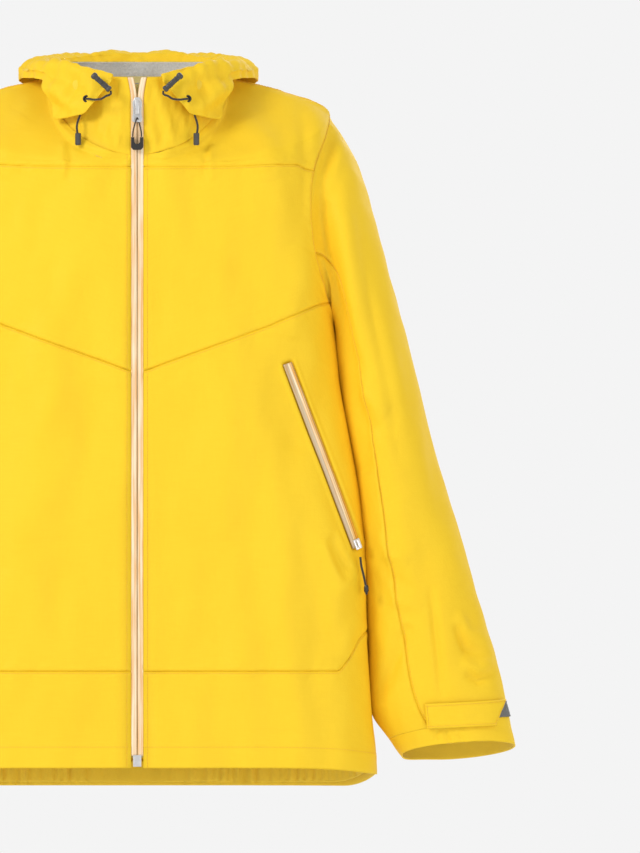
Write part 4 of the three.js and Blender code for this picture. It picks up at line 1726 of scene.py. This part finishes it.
    def closure(self, side: Side, arm: str) -> None:
        """The tab of one cuff, with its sewn end.

        Args:
            side: The wearer's side.
            arm: The sleeve's body.
        """

        def relief(weave: Weave) -> Array:
            """A stitched groove, a round edge and a rise from the sewn end."""
            gap = np.min(weave.edges, axis=-1)
            groove = -0.45 * np.exp(-(((gap - 3.2) / 0.9) ** 2))
            round_edge = -1.1 * np.exp(-((gap / 1.0) ** 2))
            fixed = weave.edges[..., 0 if side is Side.LEFT else 1]
            return groove + round_edge + 0.7 * smooth(fixed / 12) + uneven((26, 16), 8, 0.25)(weave)

        name = f"cuff_tab_{side.tag}"
        cloth = f"{name}_cloth"
        bodies = (arm, f"cuff_tab_body_{side.tag}")
        span = [to_frame([x * side.value, -60, 78]) for x in self.hinge]
        places = self.patch(self.tab, 4.0)
        tab = self.tailor.sheet(
            cloth, (84, 30), places, SHELL, side, relief, wall=1.6, inside=LOOP_TAPE
        )
        between(tab, bodies, span, "shell_fabric", name)
        edges = ("left", "right", "low", "high")
        lines = [self.tailor.seam_line(cloth, edge, 2.6) for edge in edges]
        thread = self.tailor.stitches(f"{name}_thread", lines, 2.0, 0.7)
        between(thread, bodies, span, "shell_fabric")


# ------------------------------------------------------------------ collar and hood
@dataclass
class Collar:
    """Stand collar, its knit lining and the hanger loop."""

    tailor: Tailor
    form: BodyForm
    lining_gap: float = 3.6

    def build(self) -> None:
        """Makes the collar."""
        neck, top = self.form.neck, self.form.collar

        def place(u: Array, v: Array) -> Array:
            """From the zip round to the centre back and up."""
            level = neck + (top - neck) * v
            start = self.form.angle_at(level, np.full(level.shape, self.form.zip_half + 0.2))
            made = self.form.point(level, start + (math.pi - start) * u)
            made[..., 0] += zip_spread(made[..., 2]) * np.exp(-np.abs(made[..., 0] - 6) / 26)
            return made

        def lining(u: Array, v: Array) -> Array:
            """All the way round, a little inside the collar."""
            level = neck - 6 + (top + 1 - neck) * v
            angle = 0.16 + (2 * math.pi - 0.32) * u
            made = self.form.point(level, angle)
            centre = np.array([0.0, -20.0, 0.0])
            inward = (centre - made) * np.array([1, 1, 0])
            return made + inward / np.linalg.norm(inward, axis=-1, keepdims=True) * self.lining_gap

        for side in Side:

            def relief(weave: Weave, side: Side = side) -> Array:
                """Crumpled cloth, still at the zip and the neck seam."""
                x, z = weave.points[..., 0], weave.points[..., 2]
                zip_edge = weave.edges[..., 0 if side is Side.LEFT else 1]
                crumple = waves(x, z, (22, 46), 71 + side.value) * 1.3 + waves(x, z, (11, 24), 81) * 0.5
                return crumple * smooth(zip_edge / 12) * smooth(weave.edges[..., 2] / 14)

            name = f"collar_{side.tag}"
            piece = self.tailor.sheet(f"{name}_cloth", (110, 34), place, SHELL, side, relief, wall=1.6)
            on(piece, "jacket_body", "shell_fabric", name)
        piece = self.tailor.sheet(
            "collar_lining_knit", (200, 32), lining, KNIT, Side.LEFT,
            uneven((30, 40), 77, 0.7), wall=1.2, inside=KNIT,
        )
        on(piece, "jacket_body", "collar_lining", "collar_lining")
        dress(self.tailor, "hanger_loop", TAPE_CLOTH)


def zip_spread(z: Array) -> Array:
    """How far each side of the front parts above the slider."""
    return 3.6 * np.clip((z - 722) / 22, 0, 1.2) ** 1.5


HOOD_FOLDS = (
    Crease(((34, 752), (52, 732), (60, 706)), 8, ridge=2.4),
    Crease(((50, 756), (66, 738), (76, 706)), 7, ridge=-2.4),
    Crease(((66, 758), (80, 742), (86, 716)), 8, ridge=2.6),
    Crease(((30, 742), (44, 728), (52, 710)), 4, step=1.2),
    Crease(((88, 760), (100, 752), (122, 748)), 6, ridge=-2.2),
)


@dataclass
class Hood:
    """The laid-down hood: two sides and a centre strip.

    Attributes:
        front: Angle of its front edge.
        seam: Angle of the seam beside the centre strip.
        lean: How far the front edge leans back as it goes over the roll.
    """

    tailor: Tailor
    form: HoodForm
    front: float = 0.27
    seam: float = 2.25
    lean: float = 0.6

    def build(self) -> None:
        """Makes the hood."""

        def relief(weave: Weave) -> Array:
            """Seams and soft folds, still at the neck."""
            x, y, z = np.abs(weave.points[..., 0]), weave.points[..., 1], weave.points[..., 2]
            soft = waves(x + y, z + y * 0.3, (38, 46), 91) * 2.2 + waves(x - y, z, (20, 26), 93) * 0.5
            folds = fold_height(HOOD_FOLDS, x, z) * smooth((-y - 20) / 30)
            held = smooth(weave.edges[..., 3] / 20)
            return sewn(weave, True, True, False, False) + (soft + folds) * held

        def place(first: float, last: float, lean: float = 0.0) -> Places:
            """Points between two angles round the neck.

            Args:
                first: Where u starts.
                last: Where it ends.
                lean: Moves the start over the roll.

            Returns:
                The strip's places.
            """

            def points(u: Array, v: Array) -> Array:
                """Round the neck and in over the roll."""
                start = first + lean * smooth((v - 0.6) / 0.4)
                return self.form.point(start + (last - start) * u, 1 - v)

            return points

        half = place(self.front, self.seam, self.lean)
        strips = [(f"hood_side_{side.tag}", side, (120, 70), half) for side in Side]
        middle = place(self.seam, 2 * math.pi - self.seam)
        strips.append(("hood_centre", Side.LEFT, (130, 80), middle))
        for name, side, size, places in strips:
            piece = self.tailor.sheet(f"{name}_cloth", size, places, SHELL, side, relief, held="folded")
            on(piece, "jacket_body", "shell_fabric", name)


# ------------------------------------------------------------------ zips, pockets and trims
@dataclass
class FrontZip:
    """Laminated front tapes and the slider with its pull.

    Attributes:
        face: Where the tapes face the front.
        bridge: Size, place forward of the face, rise and rounding of each block of the bridge.
    """

    tailor: Tailor
    face: float = -106.0
    low: float = 35.0
    top: float = 744.0
    middle: float = 710.5
    bridge: tuple = (
        ((4.4, 5.6, 2.6), 4.4, 8, 0.8),
        ((4.4, 5.6, 2.6), 4.4, -3.5, 0.8),
        ((4.6, 1.5, 14.4), 6.7, 2.2, 0.7),
    )
    loop: tuple = (
        (-4.6, -111.5, 681.6), (-4.3, -112.1, 687), (-2.6, -112.7, 694), (-1, -112.65, 699.2),
        (0, -110.9, 701.6), (1, -109.3, 699.2), (2.6, -109.3, 694), (4.3, -110.3, 687),
        (4.6, -111.3, 681.6),
    )

    def build(self) -> None:
        """Makes the tapes and dresses the metal."""

        def place(u: Array, v: Array) -> Array:
            """From the closing line outwards and up."""
            z = self.low + (self.top - self.low) * v
            x = 0.25 + 6.4 * u + zip_spread(z)
            crown = 0.9 * np.sin(np.clip(u, 0, 1) * math.pi) ** 0.6
            return np.stack([x, self.face - 0.1 - crown * 0.5, z], axis=-1)

        for side in Side:
            piece = self.tailor.sheet(
                f"zip_tape_{side.tag}_film", (8, 320), place, FRONT_TAPE, side,
                uneven((40, 60), 15, 0.12, 3), wall=0.8, inside=TAPE_CLOTH,
            )
            layer = piece.data.uv_layers[0].data
            coordinates = np.zeros(len(layer) * 2)
            layer.foreach_get("uv", coordinates)
            coordinates = coordinates.reshape(-1, 2)
            width = coordinates[:, 0].max()
            if side is Side.RIGHT:
                coordinates[:, 0] -= width
            layer.foreach_set("uv", coordinates.ravel())
            on(piece, "jacket_body", "laminated_zip", f"zip_tape_{side.tag}")
        for node, finish in (("zip_link", METAL), ("zip_box", METAL), ("zip_grip", DARK)):
            dress(self.tailor, node, finish)
        self.slider()
        loop, length = self.tailor.cord("zip_pull_cord_loop", self.loop, 1.5)
        on(loop, "zip_pull_body", "cord", "zip_pull_cord")

    def slider(self) -> None:
        """The slider's waisted body and its arched bridge."""
        shape = bmesh.new()
        body = self.tailor.block(shape, (10.8, 2.2, 25), (0, self.face - 2.0, self.middle), 0.7)
        cuts = list({edge for vertex in body if vertex.is_valid for edge in vertex.link_edges})
        bmesh.ops.subdivide_edges(shape, edges=cuts, cuts=5, use_grid_fill=True)
        for vertex in shape.verts:
            rise = vertex.co.z / MM + LOOP_PLACE[2] - self.middle
            waist = 1 - 0.26 * math.exp(-(((rise + 1.5) / 4.5) ** 2))
            vertex.co.x *= waist * math.sqrt(max(0.12, 1 - (max(0.0, rise - 5) / 8.2) ** 2))
        for size, ahead, rise, rounding in self.bridge:
            self.tailor.block(shape, size, (0, self.face - ahead, self.middle + rise), rounding)
        piece = self.tailor.hard("zip_slider_metal", shape, METAL)
        on(piece, "zip_slider_body", "zip_metal", "zip_slider")


@dataclass
class Pockets:
    """Slanted hand pockets: laminated zips, sliders and cord pulls.

    Attributes:
        out: Which way the front faces at the pocket.
        blocks: Size, lift from the cloth and place along the zip of each of the slider's blocks.
    """

    tailor: Tailor
    form: BodyForm
    half: float = 4.9
    out: tuple = (0.47, -0.88, 0.0)
    blocks: tuple = (
        ((7.6, 2.0, 11.0), 3.2, 0.0),
        ((2.8, 3.2, 2.2), 5.0, 3.4),
        ((2.8, 3.2, 2.2), 5.0, -2.6),
        ((3.0, 1.2, 8.6), 6.4, 0.4),
    )
    pull: tuple = (
        (0, 0, 0), (1, -1.6, -9), (3.4, -2, -19), (5.4, -1.6, -29), (6.2, -1.4, -34), (6.4, -1.2, -39),
    )

    def build(self) -> None:
        """Makes both pocket zips."""
        top, end = self.form.pocket_top, self.form.pocket_end

        def place(u: Array, v: Array) -> Array:
            """Across the tape and up its line."""
            aside = (2 * u - 1) * self.half
            share = -0.03 + 1.05 * v
            z = end[2] + (top[2] - end[2]) * share + aside * 0.35
            x = end[0] + (top[0] - end[0]) * share + aside * 0.94
            made = self.form.point(z, self.form.angle_at(z, x))
            lift = -0.6 + 2.4 * np.sqrt(np.clip(1 - (2 * u - 1) ** 2, 0, 1))
            return made + np.array(self.out) * lift[..., None]

        for side in Side:
            piece = self.tailor.sheet(
                f"pocket_zip_{side.tag}_film", (14, 110), place, POCKET_TAPE, side, None,
                wall=0.8, inside=TAPE_CLOTH, centred=True,
            )
            on(piece, "jacket_body", "pocket_zip", f"pocket_zip_{side.tag}")
            dress(self.tailor, f"pocket_pull_end_{side.tag}", DARK)
            self.slider(side)
            self.cord(side)

    def cord(self, side: Side) -> None:
        """The cord pull, which hangs from the slider.

        Args:
            side: The wearer's side.
        """
        name = f"pocket_pull_cord_{side.tag}"
        low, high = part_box(name)
        top_x = high[0] if side is Side.RIGHT else low[0]
        first = np.array([abs(top_x) / MM + 1.2, 0, high[2] / MM - 1.2])
        first[1] = (low[1] + high[1]) / 2 / MM + 0.8
        first = first + np.array([0.0, LOOP_PLACE[1], LOOP_PLACE[2]])
        turned = np.array([side.value, 1, 1])
        route = [(first + np.array(step)) * turned for step in self.pull]
        pull, length = self.tailor.cord(f"{name}_braid", route, 2.4)
        on(pull, f"pocket_pull_body_{side.tag}", "cord", name)

    def slider(self, side: Side) -> None:
        """The small slider at the pocket zip's lower end.

        Args:
            side: The wearer's side.
        """
        top, end = np.array(self.form.pocket_top), np.array(self.form.pocket_end)
        along = (top - end) / np.linalg.norm(top - end)
        out = np.array(self.out)
        out = out - along * float(out @ along)
        out = out / np.linalg.norm(out)
        across = np.cross(-out, along)
        turned = np.array([side.value, 1, 1])
        across, deep, along_side = across * turned, -out * turned, along * turned
        axes = Matrix((across, deep, along_side)).transposed()
        foot = end + (top - end) * -0.012
        shape = bmesh.new()
        for size, lift, rise in self.blocks:
            place = (foot + out * lift + along * rise) * turned
            self.tailor.block(shape, size, tuple(place), 0.55, axes=axes)
        piece = self.tailor.hard(f"pocket_slider_{side.tag}_metal", shape, METAL)
        on(piece, f"pocket_slider_body_{side.tag}", "zip_metal", f"pocket_slider_{side.tag}")


@dataclass
class HoodAdjusters:
    """Cord locks, eyelets, cords and cord ends of the hood.

    Attributes:
        tail: Where the cord hangs out of the hood, along Y.
        turn: Angle of the lock in the front view, in degrees.
        blocks: Place along the lock and size of each of its blocks.
        ring: Radius and depth of the eyelet's profile; its first points close the middle with a dark disc
            of painted shade.
        ring_wall: Thickness of its metal, in metres.
    """

    tailor: Tailor
    lock: tuple = (37.5, -122.6, 738.5)
    eyelet: tuple = (53.0, -110.9, 721.4)
    tail: float = -99.0
    turn: float = 42.0
    blocks: tuple = (
        (0, (24.4, 5.2, 5.6)),
        (-10.4, (4.4, 6.2, 6.8)),
        (9.6, (5.8, 6.4, 7.4)),
        (-3.2, (1.2, 5.7, 6.3)),
        (-5.4, (1.2, 5.7, 6.3)),
        (5.0, (1.2, 5.7, 6.3)),
    )
    ring: tuple = (
        (0.02, 0.5), (1.7, 0.5), (2.0, -0.4), (2.7, -1.0), (3.5, -0.8), (3.9, 0.2), (3.9, 0.9),
    )
    ring_wall: float = 0.0004

    def build(self) -> None:
        """Makes the locks, eyelets and cords of both sides."""
        for side in Side:
            for node in ("hood_lock_button", "hood_cord_end"):
                dress(self.tailor, f"{node}_{side.tag}", GREY)
            self.lock_body(side)
            self.eyelet_ring(side)
            self.cord(side)

    def lock_body(self, side: Side) -> None:
        """The barrel of the cord lock, with a collar at each end and grip ribs.

        Args:
            side: The wearer's side.
        """
        name = f"hood_cord_lock_{side.tag}"
        middle = box_middle(name) / MM + LOOP_PLACE
        lean = math.radians(self.turn)
        way = np.array([math.cos(lean) * side.value, 0, math.sin(lean)])
        turn = self.turn * side.value
        shape = bmesh.new()
        for reach, size in self.blocks:
            self.tailor.block(shape, size, tuple(middle + way * reach), min(size) * 0.42, turn)
        piece = self.tailor.hard(f"{name}_barrel", shape, GREY)
        on(piece, "jacket_body", "grey_plastic", name)

    def eyelet_ring(self, side: Side) -> None:
        """A turned ring whose middle is closed by a dark disc, painted shade standing in for the hole.

        Args:
            side: The wearer's side.
        """
        name = f"hood_eyelet_{side.tag}"
        middle = Vector(box_middle(name))
        shape = bmesh.new()
        # The profile starts at the middle, so a dark disc of painted shade fills the hole.
        rim = [shape.verts.new((middle.x + r * MM, middle.y + y * MM, middle.z)) for r, y in self.ring]
        edges = [shape.edges.new(pair) for pair in zip(rim[:-1], rim[1:])]
        bmesh.ops.spin(
            shape, geom=rim + edges, cent=middle, axis=(0, 1, 0),
            angle=2 * math.pi, steps=40, use_merge=True,
        )
        bmesh.ops.remove_doubles(shape, verts=shape.verts, dist=0.00004)
        piece = self.tailor.hard(f"{name}_ring", shape, DARK)
        wall = piece.modifiers.new("wall", "SOLIDIFY")
        wall.thickness = self.ring_wall
        wall.offset = -1
        on(piece, "jacket_body", "dark_plastic", name)

    def cord(self, side: Side) -> None:
        """One cord from the lock through the eyelet, down inside the hood and out to its end.

        Args:
            side: The wearer's side.
        """
        lean = math.radians(self.turn)
        end = np.array(self.lock) - 13.6 * np.array([math.cos(lean), 0, math.sin(lean)])
        near, through, tail = self.lock[1], self.eyelet[1], self.tail
        route = [
            tuple(end), (end[0] - 0.2, near - 0.6, end[2] - 3.4), (31.5, near - 1.4, 724.5),
            (38, near - 1, 720.8), (46, through - 5, 720.4), (51.0, through - 3, 721.3),
            (54.0, through + 3, 720.8), (56.4, -100, 716.5), (58.8, tail + 3.4, 709),
            (60.6, tail + 2.2, 702.5), (62.4, tail - 0.8, 697), (63.2, tail - 1.8, 692),
            (62.6, tail - 2, 686.4), (62.0, tail - 2, 682),
        ]
        turned = np.array([side.value, 1, 1])
        route = [np.array(step) * turned for step in route]
        piece, length = self.tailor.cord(f"hood_cord_{side.tag}_braid", route, 2.3)
        on(piece, "jacket_body", "cord", f"hood_cord_{side.tag}", f"hood_cord_tail_{side.tag}")


# ------------------------------------------------------------------ studio
@dataclass
class Studio:
    """Pale backdrop, soft light and the camera.

    Attributes:
        span: Height of the view there.
        lamps: Name, place, size and power of each lamp.
    """

    distance: float = 20.0
    centre: tuple = (191.0, 0.0, 379.0)
    span: float = 896.0
    sensor: float = 36.0
    pale: tuple = (0.905, 0.905, 0.905)
    ambient: float = 0.65
    lamps: tuple = (
        ("key", (-2.6, -2.9, 1.7), 1.3, 75),
        ("fill", (2.8, -2.8, -0.9), 2.4, 41),
        ("back", (1.6, 3.4, 1.4), 2.2, 46),
    )
    aim: tuple = (0.1, 0.0, -0.38)
    floor_level: float = -1.15
    floor_size: float = 8.0

    def build(self) -> None:
        """Makes the studio."""
        scene = bpy.context.scene
        scene.view_settings.view_transform = "Standard"
        camera = linked("camera", bpy.data.cameras.new("camera"))
        camera.data.sensor_fit = "VERTICAL"
        camera.data.sensor_height = self.sensor
        camera.data.lens = self.sensor * self.distance / (self.span * MM)
        spot = to_frame(self.centre)
        camera.location = (spot[0], spot[1] - self.distance, spot[2])
        camera.rotation_euler = (math.pi / 2, 0, 0)
        camera.data.clip_end = 50
        scene.camera = camera
        self.floor()
        for name, place, size, power in self.lamps:
            self.lamp(name, place, size, power)
        world = bpy.data.worlds.new("world")
        scene.world = world
        world.use_nodes = True
        tree = world.node_tree
        room = tree.nodes["Background"]
        room.inputs["Color"].default_value = (1, 1, 1, 1)
        room.inputs["Strength"].default_value = self.ambient
        seen = tree.nodes.new("ShaderNodeBackground")
        seen.inputs["Color"].default_value = (*self.pale, 1)
        ray = tree.nodes.new("ShaderNodeLightPath")
        mixed = tree.nodes.new("ShaderNodeMixShader")
        tree.links.new(ray.outputs["Is Camera Ray"], mixed.inputs["Fac"])
        tree.links.new(room.outputs["Background"], mixed.inputs[1])
        tree.links.new(seen.outputs["Background"], mixed.inputs[2])
        tree.links.new(mixed.outputs["Shader"], tree.nodes["World Output"].inputs["Surface"])

    def floor(self) -> None:
        """A plain pale floor under the hanging jacket."""
        shape = bmesh.new()
        bmesh.ops.create_grid(shape, x_segments=1, y_segments=1, size=self.floor_size)
        bmesh.ops.translate(shape, vec=(0, 0, self.floor_level), verts=shape.verts)
        mesh = bpy.data.meshes.new("floor")
        shape.to_mesh(mesh)
        shape.free()
        piece = linked("floor", mesh)
        shade = Shade("floor")
        shade.set(Base_Color=(0.92, 0.92, 0.92), Roughness=0.9)
        mesh.materials.append(shade.material)

    def lamp(self, name: str, place: tuple, size: float, power: float) -> None:
        """A square soft light aimed at the jacket's middle.

        Args:
            name: The lamp's name.
            place: Where it stands.
            size: Its width in metres.
            power: In watts.
        """
        light = bpy.data.lights.new(name, "AREA")
        light.size = size
        light.energy = power
        piece = linked(name, light)
        piece.location = place
        way = Vector(self.aim) - Vector(place)
        piece.rotation_euler = way.to_track_quat("-Z", "Y").to_euler()


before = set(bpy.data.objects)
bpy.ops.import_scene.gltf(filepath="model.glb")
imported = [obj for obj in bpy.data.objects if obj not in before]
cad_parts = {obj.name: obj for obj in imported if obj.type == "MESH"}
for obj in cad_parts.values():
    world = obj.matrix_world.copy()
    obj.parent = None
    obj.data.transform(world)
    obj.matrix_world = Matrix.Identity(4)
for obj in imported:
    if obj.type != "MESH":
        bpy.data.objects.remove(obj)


def main() -> None:
    """Builds the studio and every sub-assembly, logging each."""
    logging.basicConfig(level=logging.INFO, format="%(name)s: %(message)s")
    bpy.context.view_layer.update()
    Studio().build()
    tailor = Tailor(Wardrobe())
    form = BodyForm()
    for part in (
        Body(tailor, form),
        Sleeves(tailor, SleeveForm(form)),
        Collar(tailor, form),
        Hood(tailor, HoodForm(form)),
        FrontZip(tailor),
        Pockets(tailor, form),
        HoodAdjusters(tailor),
    ):
        part.build()
        LOG.info("built %s", type(part).__name__)


if __name__ == "__main__":
    main()
